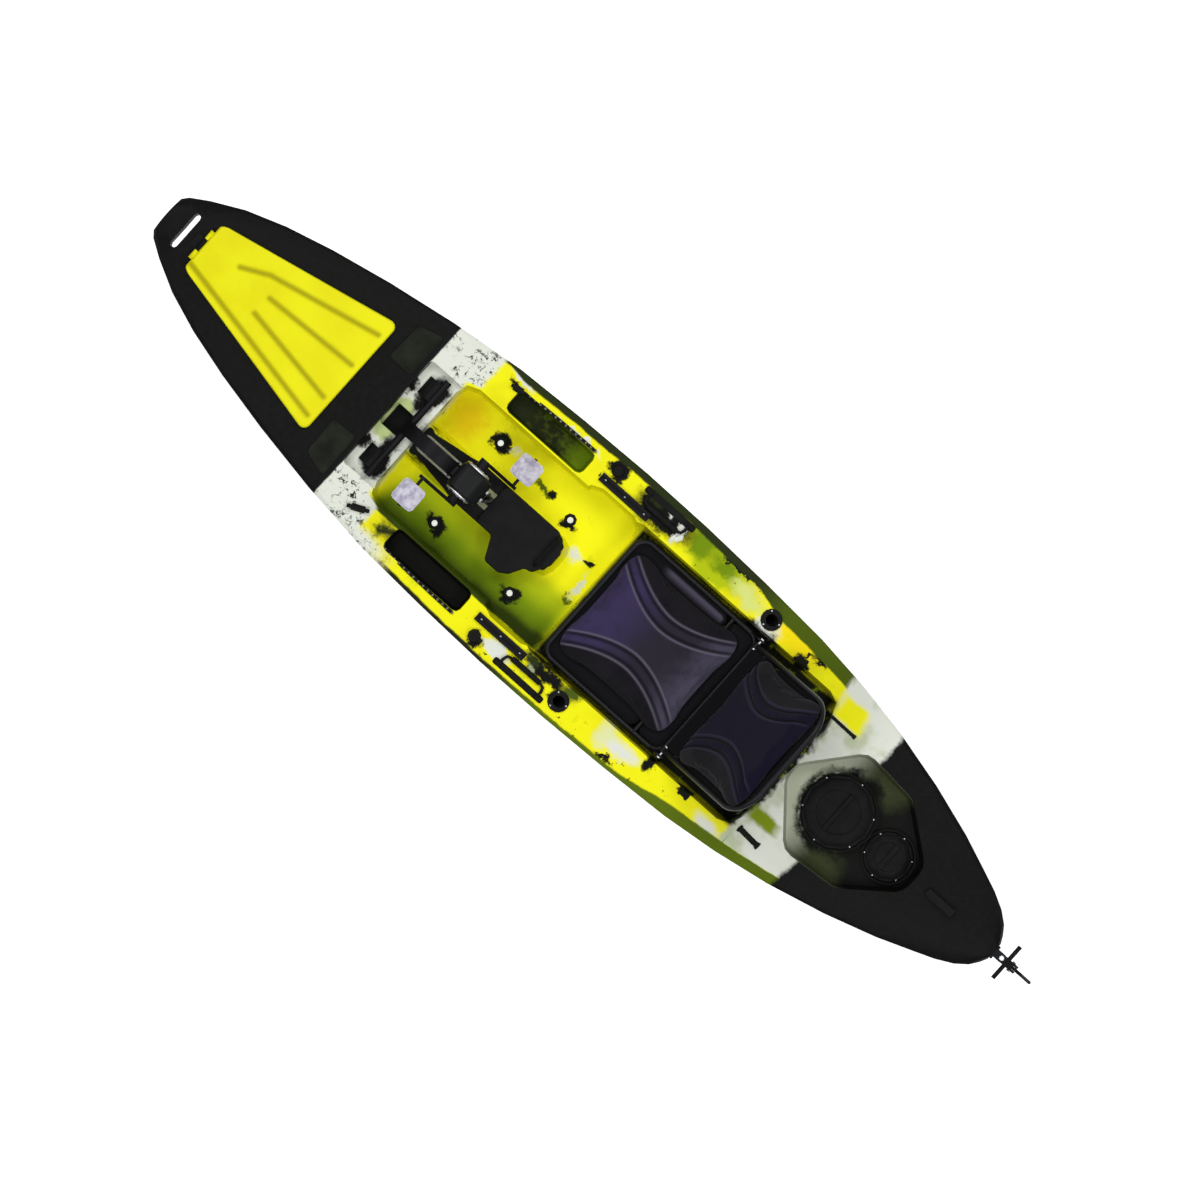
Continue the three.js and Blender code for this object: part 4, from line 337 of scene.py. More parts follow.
def splash(spot, reach, soft):
    """The mask of one ragged patch, from its middle and half-widths along and across the hull."""
    middle, spread = (spot[0] + stir / 2, spot[1] + stir / 2, 0), (*reach, 9)
    away = marbled.node("ShaderNodeVectorMath", {0: swirl, 1: middle}, operation="SUBTRACT")
    away = marbled.node("ShaderNodeVectorMath", {0: away, 1: spread}, operation="DIVIDE")
    far = marbled.node("ShaderNodeVectorMath", {0: away}, output="Value", operation="LENGTH")
    return far.below(1 - soft, 1 + soft)


def layered(colour, layers):
    """The colour with other tones laid over it in turn, each through its mask."""
    for mask, tone in layers:
        colour = marbled.mix(mask, colour, tone)
    return colour


# The yellow deck turns to green across the port half of the footwell, partly the plastic's own green and
# partly painted shade that is darkest along the port wall; low in the wells the yellow is painted brighter as
# painted light.
footwell = (abs(y) + ragged * 0.2).below(0.27, 0.28)
footwell = footwell * (x + (0.2 - y) * 0.25).below(0.66, 0.73) * x.within(-0.06, 0.0)
across = y + (patchy - 0.5) * 0.04
colour = layered(yellow, [
    (marbled.noise(3.2, shift=(4, 1, 0)).within(0.5, 0.72), paint(214, 206, 14)),
    # Painted light: low in the wells the yellow is brighter, to lift the shade that falls there.
    (z.below(0.08, 0.29), paint(240, 236, 20)),
    (marbled.noise(9, 4, 0.66, shift=(1, 5, 0)).within(0.6, 0.74) * 0.6, lime),
    (footwell * across.within(0.03, 0.11), lime),
    (footwell * across.within(0.1, 0.2), green),
    (footwell * across.within(0.19, 0.262), olive),
    # Painted shade: the darkest olive band lies along the footwell's port wall.
    (footwell * (across + (0.4 - x) * 0.04).within(0.236, 0.262), paint(44, 56, 4)),
])

# Patches on the decks and in the wells: each has its colour, middle, half-widths and softness. The white
# strip at 0.6 on the starboard gunwale is a painted highlight.
for tone, *patch in [
    (lime, (-0.31, -0.36), (0.13, 0.08), 0.3), (green, (-0.215, -0.38), (0.055, 0.05), 0.5),
    (green, (-0.33, -0.365), (0.05, 0.03), 0.6), (black, (-0.055, -0.36), (0.115, 0.07), 0.25),
    (dusk, (-0.02, -0.395), (0.05, 0.02), 0.6), (white, (-0.135, -0.338), (0.014, 0.035), 0.4),
    (white, (-0.07, -0.375), (0.012, 0.01), 0.6), (black, (-0.41, -0.405), (0.12, 0.014), 0.3),
    (black, (-0.57, -0.275), (0.075, 0.035), 0.3), (white, (-0.575, -0.315), (0.05, 0.028), 0.5),
    (paint(206, 214, 120), (-0.45, -0.345), (0.07, 0.03), 0.7),
    (paint(236, 214, 14), (-0.67, -0.335), (0.09, 0.035), 0.5),
    (black, (-0.735, -0.29), (0.034, 0.03), 0.25), (black, (-0.79, -0.345), (0.03, 0.012), 0.5),
    (black, (-0.735, 0.29), (0.03, 0.02), 0.25), (black, (-0.585, 0.29), (0.022, 0.05), 0.3),
    (white, (0.065, 0.362), (0.05, 0.024), 0.35), (white, (-0.47, 0.335), (0.075, 0.032), 0.5),
    (paint(214, 218, 160), (-0.4, 0.32), (0.03, 0.04), 0.8), (black, (-0.45, 0.392), (0.035, 0.009), 0.3),
    (black, (-0.11, 0.305), (0.09, 0.028), 0.3), (dusk, (-0.05, 0.30), (0.03, 0.02), 0.5),
    (mist, (-0.06, 0.325), (0.02, 0.012), 0.6), (paint(70, 84, 20), (-0.23, 0.3), (0.035, 0.03), 0.5),
    (black, (-0.2, 0.34), (0.03, 0.025), 0.4), (white, (-0.87, 0.33), (0.05, 0.025), 0.7),
    # Painted highlight: the first white strip here stands for light on the starboard gunwale.
    (white, (0.6, -0.382), (0.05, 0.012), 0.4), (white, (0.33, -0.372), (0.09, 0.009), 0.4),
    (black, (0.59, -0.345), (0.03, 0.008), 0.3), (black, (0.158, -0.378), (0.036, 0.032), 0.25),
    (dusk, (0.61, 0.31), (0.03, 0.03), 0.6), (black, (0.61, -0.352), (0.03, 0.01), 0.4),
    (black, (0.14, 0.377), (0.034, 0.03), 0.2), (paint(226, 196, 8), (0.66, -0.16), (0.07, 0.06), 0.8),
    (black, (0.5205, -0.177), (0.034, 0.036), 0.2), (black, (0.505, 0.17), (0.042, 0.022), 0.3),
    (black, (0.475, 0.2), (0.02, 0.03), 0.3), (black, (0.155, 0.186), (0.04, 0.036), 0.2),
    (moss, (0.31, -0.155), (0.035, 0.014), 0.4), (black, (0.272, -0.17), (0.02, 0.02), 0.4),
    (black, (0.172, -0.12), (0.028, 0.018), 0.35), (white, (0.075, -0.052), (0.026, 0.02), 0.6),
    (black, (0.02, -0.058), (0.022, 0.01), 0.35), (white, (-0.01, 0.015), (0.01, 0.04), 0.6),
    (moss, (-0.005, 0.07), (0.02, 0.01), 0.5), (paint(228, 226, 190), (0.47, -0.19), (0.022, 0.01), 0.6),
]:
    colour = marbled.mix(splash(*patch), colour, tone)

# The pockets are leafy to starboard and nearly black to port, and the drive well is painted black inside as
# painted shade.
pocket = z.below(0.285, sheer) * abs(y).within(0.264, 0.272) * x.band(0.236, 0.25, 0.584, 0.598)
leafy = marbled.mix(marbled.noise(14, 4, 0.7, shift=(5, 5, 0)).within(0.45, 0.66), paint(30, 36, 12), moss)
leafy = marbled.mix((x + ragged).within(0.27, 0.36), green, leafy)
leafy = marbled.mix((x + ragged * 2).within(0.44, 0.56), leafy, paint(40, 46, 22))
flecks = marbled.noise(17, 5, 0.74, shift=(8, 2, 0)).within(0.64, 0.68) * abs(y).within(0.28, 0.3)
colour = layered(colour, [
    (pocket, marbled.mix(port_half, leafy, paint(10, 11, 7))),
    # Painted shade: the drive slot and its well are painted black, as the shade inside them.
    (abs(y).below(0.04, 0.05) * x.band(0.3, 0.32, 0.75, 0.76), black),
    (flecks, marbled.mix(fine.within(0.4, 0.6), dusk, black)),
])

# The seat well is painted dark as the shade under the seat, with a few green and yellow streaks left at its
# corners.
seat_well_shade = (abs(y) + ragged * 0.3).below(0.268, 0.29) * x.band(-0.99, -0.975, -0.045, -0.03)
streaks = marbled.noise(15, 4, 0.7, shift=(2, 7, 0)).within(0.56, 0.62)
colour = marbled.mix(seat_well_shade, colour, marbled.mix(streaks, paint(14, 16, 6), paint(112, 128, 12)))

# The outer gunwale is olive, widest abaft the seat, and nearly black to starboard ahead of it.
waist = x.within(-0.62, -0.42)
breadth = rim + (patchy - 0.5) * 0.035 + (fine - 0.5) * 0.01
starboard_belt = (breadth + (1 - waist) * 0.065 - x.within(0.58, 0.68) * 0.04).within(0.925, 0.945)
port_belt = (breadth + x.below(-0.75, -0.5) * 0.075).within(0.955, 0.975) * port_half
port_tone = marbled.mix(x.within(-0.2, 0.1), paint(84, 102, 10), paint(26, 30, 12))
colour = layered(colour, [
    (starboard_belt * (1 - port_half), marbled.mix(waist, paint(70, 86, 8), paint(34, 42, 14))),
    (port_belt * x.below(0.5, 0.62), port_tone),
])

# A white band with dark flecks divides the deck from the black bow, and the latch well in it is black.
forward = x + ragged * 0.5 - abs(y).below(0.25, 0.27) * 0.05
band = forward.within(0.678, 0.70).most((rim + ragged).within(0.84, 0.94) * port_half * x.within(0.5, 0.64))
specks = marbled.noise(40, 5, 0.78, warp=0.5).within(0.53, 0.6) * abs(y).within(0.2, 0.26)
specks = specks * marbled.noise(8, 2, 0.5, shift=(0, 3, 0)).within(0.36, 0.5)
colour = marbled.mix(band, colour, marbled.mix(specks, white, paint(30, 34, 26)))
for tone, *patch in [
    (black, (0.792, 0.162), (0.045, 0.05), 0.3), (black, (0.792, -0.15), (0.045, 0.055), 0.3),
    (paint(176, 190, 128), (0.85, 0.0), (0.05, 0.09), 0.12), (black, (0.80, 0.1), (0.03, 0.05), 0.4),
    (black, (0.8, -0.1), (0.035, 0.05), 0.4), (black, (0.9, 0.13), (0.05, 0.035), 0.2),
    (black, (0.9, -0.13), (0.05, 0.035), 0.2), (black, (0.7, 0.0), (0.05, 0.06), 0.3),
]:
    colour = marbled.mix(splash(*patch), colour, tone)
latch = abs(y + ragged * 0.06).below(0.044, 0.048) * abs(x - 0.832).below(0.032, 0.036)
colour = marbled.mix(latch, colour, black)

# Abaft the seat the deck pales to white and mist, and the tank well goes from pale to olive and into the
# black stern; the olive is painted shade of the well's wall.
veer = x + ragged - abs(y) * 0.12 + (patchy - 0.5) * 0.05
veil = marbled.noise(7, shift=(3, 0, 3)).within(0.46, 0.66) * 0.7
gold = (abs(y + 0.278) + ragged * 0.9).below(0.03, 0.052) * (x + ragged * 1.3 + y * 0.3).within(-1.145, -1.11)
leaf = abs(y - 0.19 + ragged * 0.7).below(0.016, 0.034) * (x + ragged * 1.3).within(-1.075, -1.03)
# Painted shade: the tank well is pale ahead and olive aft, where its wall is in shade.
painted_tank_shade = marbled.mix((x + ragged).within(-1.2, -1.05), paint(60, 66, 40), paint(192, 198, 176))
around_well = (z.within(0.296, sheer) + abs(y).within(0.215, 0.235)).least(1)
ends = (x + ragged * 0.25).within(0.874, 0.88).most(around_well * (x + ragged * 1.2).below(-1.175, -1.155))
ends = ends.most((x + ragged).below(-1.36, -1.3))
colour = layered(colour, [
    (veer.below(-0.978, -0.955) * (1 - port_belt), marbled.mix(veil, white, mist)),
    (gold * x.below(-0.95, -0.9), yellow),
    (leaf * x.below(-0.96, -0.93), paint(118, 136, 18)),
    (z.below(0.29, sheer) * x.below(-0.97, -0.95), painted_tank_shade),
    (splash((-1.17, 0.0), (0.135, 0.16), 0.12), black),
    (splash((-1.38, 0.0), (0.16, 0.17), 0.3), black),
    (ends, marbled.mix(fine.within(0.3, 0.75), black, paint(14, 15, 14))),
])
orange_peel = marbled.noise(240, 2, 0.5) * 0.6 + marbled.noise(26, 2, 0.5)
marbled.surface(colour, 0.36 + fine * 0.16, orange_peel, 0.14, 0.004)


gap_x, gap_reach, deck_low, hollow_top, lap = 0.66, 0.1, 0.305, 0.09, 0.0015
bilge_z, bilge_y = 0.2, 0.3


def close_deck(shape):
    """Skin over the place beside the starboard pocket where the hull's hollow comes up through its deck."""
    tree = BVHTree.FromBMesh(shape)
    lip = []
    for edge in shape.edges:
        middle = (edge.verts[0].co + edge.verts[1].co) / 2
        tops = [face for face in edge.link_faces if face.normal.z > 0.9]
        if len(tops) != 1 or middle.z < deck_low or abs(middle.x - gap_x) > gap_reach:
            continue
        outward = (edge.verts[1].co - edge.verts[0].co).cross(Vector((0, 0, 1))).normalized()
        if outward.dot(middle - tops[0].calc_center_median()) < 0:
            outward.negate()
        below = tree.ray_cast(middle + outward * 0.001 + Vector((0, 0, 0.1)), Vector((0, 0, -1)))[0]
        if below.z < hollow_top:
            lip.append(edge)
    bmesh.ops.split_edges(shape, edges=lip)
    open_edges = [edge for edge in shape.edges if edge.is_boundary]
    deck_side = [edge for edge in open_edges if edge.link_faces[0].normal.z > 0.9]
    inner_side = [edge for edge in open_edges if edge not in deck_side]
    for vert in {vert for edge in inner_side for vert in edge.verts}:
        vert.co.z -= lap
    bmesh.ops.holes_fill(shape, edges=deck_side)
    bmesh.ops.holes_fill(shape, edges=inner_side)


def mark_rim(shape):
    """How far out each point lies, as a share of the hull's half-breadth there, for the gunwale's colours."""
    outer = {}
    for vert in shape.verts:
        station = round(vert.co.x, 3)
        outer[station] = max(outer.get(station, 0), abs(vert.co.y))
    crest = []
    for station, breadth in sorted(outer.items()):
        while len(crest) > 1:
            (x0, y0), (x1, y1) = crest[-2:]
            if (y1 - y0) * (station - x0) >= (breadth - y0) * (x1 - x0):
                break
            crest.pop()
        crest.append((station, breadth))
    layer = shape.verts.layers.float.new("rim")
    stations, breadths = zip(*crest)
    for vert in shape.verts:
        vert[layer] = abs(vert.co.y) / max(float(np.interp(vert.co.x, stations, breadths)), 0.02)
        if vert.co.z < bilge_z and abs(vert.co.y) > bilge_y:
            vert[layer] = 1.0


moulded("hull", "hull_shell", marbled, bevel=0.0035, crease=30, segments=3, prepare=(close_deck, mark_rim))


# Bow hatch: a yellow moulded lid on a rubber seal, with four pressed grooves and a hinge at the bow.
# The lid is the hull's own polyethylene without the marbling; its grooves are painted darker and greener as
# painted shade, and its rounded edge and skirt are painted darker as their shade.
lid_yellow = Finish("lid_polyethylene", "lid_plastic", specular=0.08)
fade_and_painted_light = lid_yellow.noise(5).within(0.35, 0.7)
tones = lid_yellow.mix(fade_and_painted_light, paint(226, 222, 16), paint(219, 211, 10))
# Painted shade: the points marked side (the rounded edge and skirt) and pressed (the grooves) are darker.
tones = lid_yellow.mix(lid_yellow.marked("side"), tones, paint(150, 146, 6))
tones = lid_yellow.mix(lid_yellow.marked("pressed"), tones, paint(160, 152, 2))
worn = lid_yellow.noise(60)
lid_yellow.surface(tones, 0.36 + worn * 0.14, lid_yellow.noise(260, 2, 0.5), 0.14, 0.003)


def faces_of(node):
    """A search tree of a CAD node's faces, to lay other pieces on them."""
    shape = bmesh.new()
    shape.from_mesh(frame["nodes"][node].data)
    tree = BVHTree.FromBMesh(shape)
    shape.free()
    return tree


def height(tree, px, py, start=0.6, way=-1):
    """Where a plumb line from above (or below) first meets the faces."""
    return tree.ray_cast(Vector((px, py, start)), Vector((0, 0, way)))[0].z


def rounded_grid(shape, corners, radius, segments):
    """A flat grid with four rounded corners; each point comes with its distance from the edge."""
    made = bmesh.ops.create_grid(shape, x_segments=segments[0], y_segments=segments[1], size=1)["verts"]
    corners = [Vector(corner) for corner in corners]
    spans = [(corners[1] - corners[0]).length / 2, (corners[3] - corners[0]).length / 2]
    shares = [radius / span for span in spans]
    points = []
    for vert in made:
        a, b = vert.co.x, vert.co.y
        edge = min((1 - abs(a)) * spans[0], (1 - abs(b)) * spans[1])
        past = [(abs(a) - 1 + shares[0]) / shares[0], (abs(b) - 1 + shares[1]) / shares[1]]
        if min(past) > 0:
            pull = max(past) / math.hypot(*past)
            a = math.copysign(1 - shares[0] + shares[0] * past[0] * pull, a)
            b = math.copysign(1 - shares[1] + shares[1] * past[1] * pull, b)
        weights = ((1 - a) * (1 - b), (1 + a) * (1 - b), (1 + a) * (1 + b), (1 - a) * (1 + b))
        flat = sum((corner * weight / 4 for weight, corner in zip(weights, corners)), Vector((0, 0)))
        vert.co = (*flat, 0)
        points.append((vert, edge))
    return points


def facing_up(shape):
    """Turn the faces of a sheet so that they look up."""
    bmesh.ops.recalc_face_normals(shape, faces=shape.faces)
    if sum(face.normal.z for face in shape.faces) < 0:
        bmesh.ops.reverse_faces(shape, faces=shape.faces)


def crown_terms(px, py):
    """The terms of the lid's crown, which curves along and across it."""
    return [1, px, px * px, py * py, px * py * py]


lid_faces = faces_of("bow_hatch_lid")
fore, aft, fore_half, aft_half = 1.7095, 1.0395, 0.0988, 0.2425
lid_corner, lid_wall, lip_radius, lip_drop, seal_gap = 0.032, 0.0035, 0.009, 0.006, 0.0005
groove_depth, groove_half, groove_shade_width = 0.0045, 0.009, 0.0095
tab_line, tab_tuck = 1.7103, 0.004
edge_spots = [(aft + 0.005, aft_half * share) for share in (-0.7, -0.3, 0.3, 0.7)]
edge_spots += [(fore - 0.005, fore_half * share) for share in (-0.5, 0.0, 0.5)]
for share in (0.15, 0.3, 0.45, 0.6, 0.75, 0.9):
    reach = aft_half + (fore_half - aft_half) * share - 0.006
    edge_spots += [(aft + (fore - aft) * share, reach * sign) for sign in (-1, 1)]
tops = [height(lid_faces, px, py) for px, py in edge_spots]
skirt = sum(tops) / len(tops) - sum(height(lid_faces, px, py, 0.1, 1) for px, py in edge_spots) / len(tops)
crown = np.linalg.lstsq(np.array([crown_terms(*spot) for spot in edge_spots]), np.array(tops), rcond=None)[0]
lid_grooves = [
    [(1.700, 0.073), (1.07, 0.192)], [(1.43, 0.054), (1.07, 0.110)], [(1.425, -0.018), (1.07, -0.034)],
    [(1.57, -0.030), (1.475, -0.078), (1.07, -0.170)],
]
shape = bmesh.new()
groove_shade_layer = shape.verts.layers.float.new("pressed")
edge_shade_layer = shape.verts.layers.float.new("side")
lid_corners = [(aft, -aft_half), (fore, -fore_half), (fore, fore_half), (aft, aft_half)]
for vert, edge in rounded_grid(shape, lid_corners, lid_corner, (190, 118)):
    vert.co.z = float(np.dot(crown, crown_terms(vert.co.x, vert.co.y)))
    away = 1.0
    for groove in lid_grooves:
        for a, b in zip(groove, groove[1:]):
            a, b = Vector(a), Vector(b)
            share = min(max((vert.co.xy - a).dot(b - a) / (b - a).length_squared, 0), 1)
            away = min(away, (vert.co.xy - a.lerp(b, share)).length)
    vert.co.z -= groove_depth * math.exp(-(away / groove_half) ** 4)
    # Each groove and the rounded edge are marked for their painted shade.
    vert[groove_shade_layer] = math.exp(-(away / groove_shade_width) ** 2)
    round_off = 1 - min(edge / lip_radius, 1)
    vert.co.z -= lip_drop * (1 - math.sqrt(1 - round_off * round_off))
    vert[edge_shade_layer] = max(0.0, round_off - 0.4) * 0.8
made = bmesh.ops.extrude_edge_only(shape, edges=[edge for edge in shape.edges if edge.is_boundary])["geom"]
for vert in [item for item in made if isinstance(item, bmesh.types.BMVert)]:
    vert.co.z -= skirt - lip_drop - seal_gap
    vert[edge_shade_layer] = 1.0
facing_up(shape)
bmesh.ops.solidify(shape, geom=shape.faces, thickness=lid_wall)
tabs = welded("bow_hatch_lid")
geometry = [*tabs.verts, *tabs.edges, *tabs.faces]
bmesh.ops.bisect_plane(tabs, geom=geometry, plane_co=(tab_line, 0, 0), plane_no=(1, 0, 0), clear_inner=True)
cut_edges = [edge for edge in tabs.edges if edge.is_boundary]
for vert in {vert for edge in cut_edges for vert in edge.verts}:
    vert.co.x -= tab_tuck
bmesh.ops.holes_fill(tabs, edges=cut_edges)
bmesh.ops.recalc_face_normals(tabs, faces=tabs.faces)
spare = bpy.data.meshes.new("hinge_tabs")
tabs.to_mesh(spare)
tabs.free()
shape.from_mesh(spare)
bpy.data.meshes.remove(spare)
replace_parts(added("bow_lid_shell", shape, lid_yellow, "bow_lid", sharp=50), "bow_hatch_lid")

seal_rubber = Finish("sponge_seal", "seal_rubber", specular=0.1)
seal_rubber.surface(
    paint(20, 20, 20), 0.75 + seal_rubber.noise(90, 2, 0.5) * 0.2, seal_rubber.noise(420, 2, 0.6), 0.3, 0.002)
moulded("bow_hatch_seal", "bow_seal", seal_rubber, bevel=0.001)
grained = Finish("grained_black_plastic", "black_plastic", specular=0.06)
grain = grained.noise(520)
tones = grained.mix(grained.noise(18).within(0.35, 0.7), paint(11, 12, 11), paint(18, 19, 18))
grained.surface(tones, 0.42 + grain * 0.2, grain, 0.2, 0.0015)
moulded("bow_hatch_hinge", "bow_hinge_leaf", grained, bevel=0.0008)
steel = Finish("satin_stainless", "steel", metallic=1.0)
brushing, lines = steel.noise(90, stretch=(1, 1, 8)), steel.noise(300, 2, 0.5, stretch=(1, 1, 12))
steel.surface(paint(168, 170, 172), 0.26 + brushing * 0.18, lines, 0.08, 0.001)
moulded("bow_hatch_hinge_pin", "bow_hinge_rod", steel, bevel=0.0004)


# Foredeck pads: two grey ribbed foam pads stuck to the deck abaft the bow hatch.
# Each is cut from a 3 mm sheet with rounded corners, and it follows the deck's crown.
deck = faces_of("hull")
sides = [("port", 1), ("starboard", -1)]


def laid(name, corners, thickness, finish, segments, radius):
    """A flat sheet or strap cut with rounded corners and pressed on to the deck."""
    shape = bmesh.new()
    for vert, edge in rounded_grid(shape, corners, radius, segments):
        vert.co.z = height(deck, vert.co.x, vert.co.y) + 0.0006
    facing_up(shape)
    piece = added(name, shape, finish, sharp=50)
    modified(piece, "sheet_thickness", "SOLIDIFY", thickness=thickness, offset=1)


foam = Finish("grey_deck_foam", "seal_rubber", specular=0.03)
wave = {"Vector": foam.place(), "Scale": 52, "Distortion": 0.0}
relief = foam.node("ShaderNodeTexWave", wave, bands_direction="Y") * 0.7 + foam.noise(600, 2, 0.6) * 0.3
tones = foam.mix(foam.noise(14, 4, 0.65).within(0.3, 0.7), paint(38, 40, 34), paint(26, 28, 23))
foam.surface(tones, 0.78 + foam.noise(80) * 0.16, relief, 0.5, 0.0014)
for side, sign in sides:
    pad = [(0.898, 0.137 * sign), (0.995, 0.142 * sign), (0.99, 0.285 * sign), (0.896, 0.312 * sign)]
    laid(f"foredeck_pad_{side}", pad, 0.003, foam, (18, 28), 0.014)


# Round hatches: threaded rings screwed to the tank well's raised seats, and lobed lids with a bar grip.
# Both are injection moulded in black plastic with a fine grain.
def turned(shape, profile, place, steps, scale=1.0):
    """A solid of revolution from its profile of radius and height, stood at its place."""
    known = set(shape.verts)
    ring = [shape.verts.new((radius * scale, 0, rise * scale)) for radius, rise in profile]
    edges = [shape.edges.new(pair) for pair in zip(ring, ring[1:])]
    bmesh.ops.spin(
        shape, geom=ring + edges, axis=(0, 0, 1), cent=(0, 0, 0), steps=steps, angle=math.tau, use_merge=True)
    fresh = [vert for vert in shape.verts if vert not in known]
    bmesh.ops.remove_doubles(shape, verts=fresh, dist=1e-6)
    fresh = [vert for vert in shape.verts if vert not in known]
    bmesh.ops.transform(shape, matrix=place, verts=fresh)
    faces = list({face for vert in fresh for face in vert.link_faces})
    bmesh.ops.recalc_face_normals(shape, faces=faces)


pan_head = [(0, 0.22), (0.36, 0.22), (0.42, 0.55), (0.74, 0.46), (1, 0.2), (1, -0.1), (0, -0.1)]


def screws(name, spots, out, radius):
    """A set of pan-head screws, with a round recess in each crown."""
    shape = bmesh.new()
    turn = Vector((0, 0, 1)).rotation_difference(Vector(out)).to_matrix().to_4x4()
    for spot in spots:
        turned(shape, pan_head, Matrix.Translation(spot) @ turn, 12, radius)
    added(name, shape, steel, sharp=40)


for label, reach in [("screw_hatch", 0.1235), ("day_hatch", 0.0825)]:
    moulded(f"{label}_ring", f"{label}_collar", grained, bevel=0.0012)
    moulded(f"{label}_lid", f"{label}_cap", grained, bevel=0.0016, segments=3)
    low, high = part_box(f"{label}_ring")
    angles = [math.tau * (i + 0.5) / 6 for i in range(6)]
    middle = (low[0] + high[0]) / 2
    ring_faces = faces_of(f"{label}_ring")
    spots = [(middle + reach * math.cos(a), reach * math.sin(a)) for a in angles]
    screws(f"{label}_screws", [(px, py, height(ring_faces, px, py)) for px, py in spots], (0, 0, 1), 0.003)


# Deck fittings: scupper liners, rod holders, gear tracks, carry handles and the stern handle.
# They are black mouldings let into or screwed to the deck, but for the anodised aluminium tracks.
for node in [
    "scupper_1", "scupper_2", "scupper_3", "scupper_4", "rod_holder_port", "rod_holder_starboard",
    "carry_handle_port", "carry_handle_starboard", "carry_handle_mount_port", "carry_handle_mount_starboard",
    "steering_base", "steering_knob", "stern_handle",
]:
    moulded(node, f"{node}_moulding", grained, bevel=0.0005 if "carry" in node else 0.0009)
anodised = Finish("black_anodised", "arm_alu", metallic=0.4, specular=0.08)
brushing = anodised.noise(70, stretch=(0.2, 1, 1))
lines = anodised.noise(400, 2, 0.5, stretch=(0.05, 1, 1))
anodised.surface(paint(20, 20, 22), 0.3 + brushing * 0.18, lines, 0.08, 0.001)
slot_depth, screw_ring, flush = 0.0032, 0.031, 0.0002
for side, px, py in [("port", -0.2101, 0.3501), ("starboard", -0.566, -0.336)]:
    moulded(f"gear_track_{side}", f"gear_track_{side}_rail", anodised, bevel=0.0006)
    low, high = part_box(f"gear_track_{side}")
    middle = (low[1] + high[1]) / 2
    spots = [(low[0] + share * (high[0] - low[0]), middle, low[2] + slot_depth) for share in (0.1, 0.5, 0.9)]
    screws(f"gear_track_{side}_screws", spots, (0, 0, 1), 0.0042)
    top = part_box(f"rod_holder_{side}")[1][2] - flush
    spots = [(px + screw_ring * math.cos(a), py + screw_ring * math.sin(a), top) for a in (1.2, 3.3, 5.4)]
    screws(f"rod_holder_{side}_screws", spots, (0, 0, 1), 0.0032)
shape = bmesh.new()
cap = [(0, 0.009), (0.012, 0.0085), (0.0195, 0.006), (0.022, 0.002), (0.0225, 0), (0, 0)]
cap_x, cap_y = 0.158, -0.368
turned(shape, cap, Matrix.Translation((cap_x, cap_y, height(deck, cap_x, cap_y) + 0.0004)), 32)
added("starboard_deck_cap", shape, grained, sharp=50)


# Side pockets: a low rail with a row of lacing studs stands along the outer edge of each.
# The rails and the two mooring cleats ahead of them are black mouldings, and the studs are worn pale.
def edges_of(verts):
    return list({edge for vert in verts for edge in vert.link_edges})


def round_edges(shape, edges, radius, segments=2):
    bmesh.ops.bevel(
        shape, geom=edges, offset=radius, offset_type="OFFSET", segments=segments, profile=0.5,
        affect="EDGES", material=-1)


def bar(shape, a, b, width, tall, radius):
    """A moulded bar from a to b, standing on both points, with every edge rounded."""
    a, b = Vector(a), Vector(b)
    made = bmesh.ops.create_cube(shape, size=1)["verts"]
    middle = (a + b) / 2 + Vector((0, 0, tall / 2))
    lay = Matrix.Translation(middle) @ (b - a).to_track_quat("X", "Z").to_matrix().to_4x4()
    bmesh.ops.transform(shape, matrix=lay @ Matrix.Diagonal(((b - a).length, width, tall, 1)), verts=made)
    round_edges(shape, edges_of(made), radius)


def on_deck(px, py, rise=0.0004):
    """The point of the deck under or over a point of the plan."""
    return Vector((px, py, height(deck, px, py) + rise))


stud = [(0, 0.007), (0.003, 0.0068), (0.0044, 0.005), (0.003, 0.003), (0.0032, 0), (0, 0)]
pale_stud = Finish("worn_stud", "black_plastic", specular=0.3)
tones = pale_stud.mix(pale_stud.noise(120), paint(120, 124, 108), paint(60, 64, 52))
pale_stud.set("Base Color", tones)
pale_stud.set("Roughness", 0.5)
rail_start, rail_length, rail_y, rail_curve, stud_count = 0.258, 0.313, 0.3655, 0.009, 15
rail_width, rail_tall = 0.012, 0.0035
for side, sign in sides:
    rail = bmesh.new()
    studs = bmesh.new()
    shares = [i / (stud_count - 1) for i in range(stud_count)]
    spots = [
        (rail_start + rail_length * share, sign * (rail_y - rail_curve * share ** 2)) for share in shares]
    for a, b in zip(spots, spots[1:]):
        bar(rail, on_deck(*a), on_deck(*b), rail_width, rail_tall, 0.001)
    for spot in spots:
        turned(studs, stud, Matrix.Translation(on_deck(*spot, rail_tall + 0.0001)), 10)
    added(f"pocket_rail_{side}", rail, grained, sharp=40)
    added(f"pocket_studs_{side}", studs, pale_stud, sharp=60)
for name, a, b in [
    ("cleat_port", (0.768, 0.330), (0.695, 0.296)), ("cleat_starboard", (0.622, -0.345), (0.566, -0.352)),
]:
    shape = bmesh.new()
    tip, tail = on_deck(*a), on_deck(*b)
    tip.z = tail.z = on_deck(*((Vector(a) + Vector(b)) / 2)).z
    for inset, rise, width, tall, radius in [
        (0.2, 0, 0.024, 0.004, 0.0015), (0.34, 0.003, 0.014, 0.012, 0.003), (0, 0.013, 0.014, 0.009, 0.0038),
    ]:
        lift = Vector((0, 0, rise))
        bar(shape, tip.lerp(tail, inset) + lift, tip.lerp(tail, 1 - inset) + lift, width, tall, radius)
    added(name, shape, grained, sharp=45)


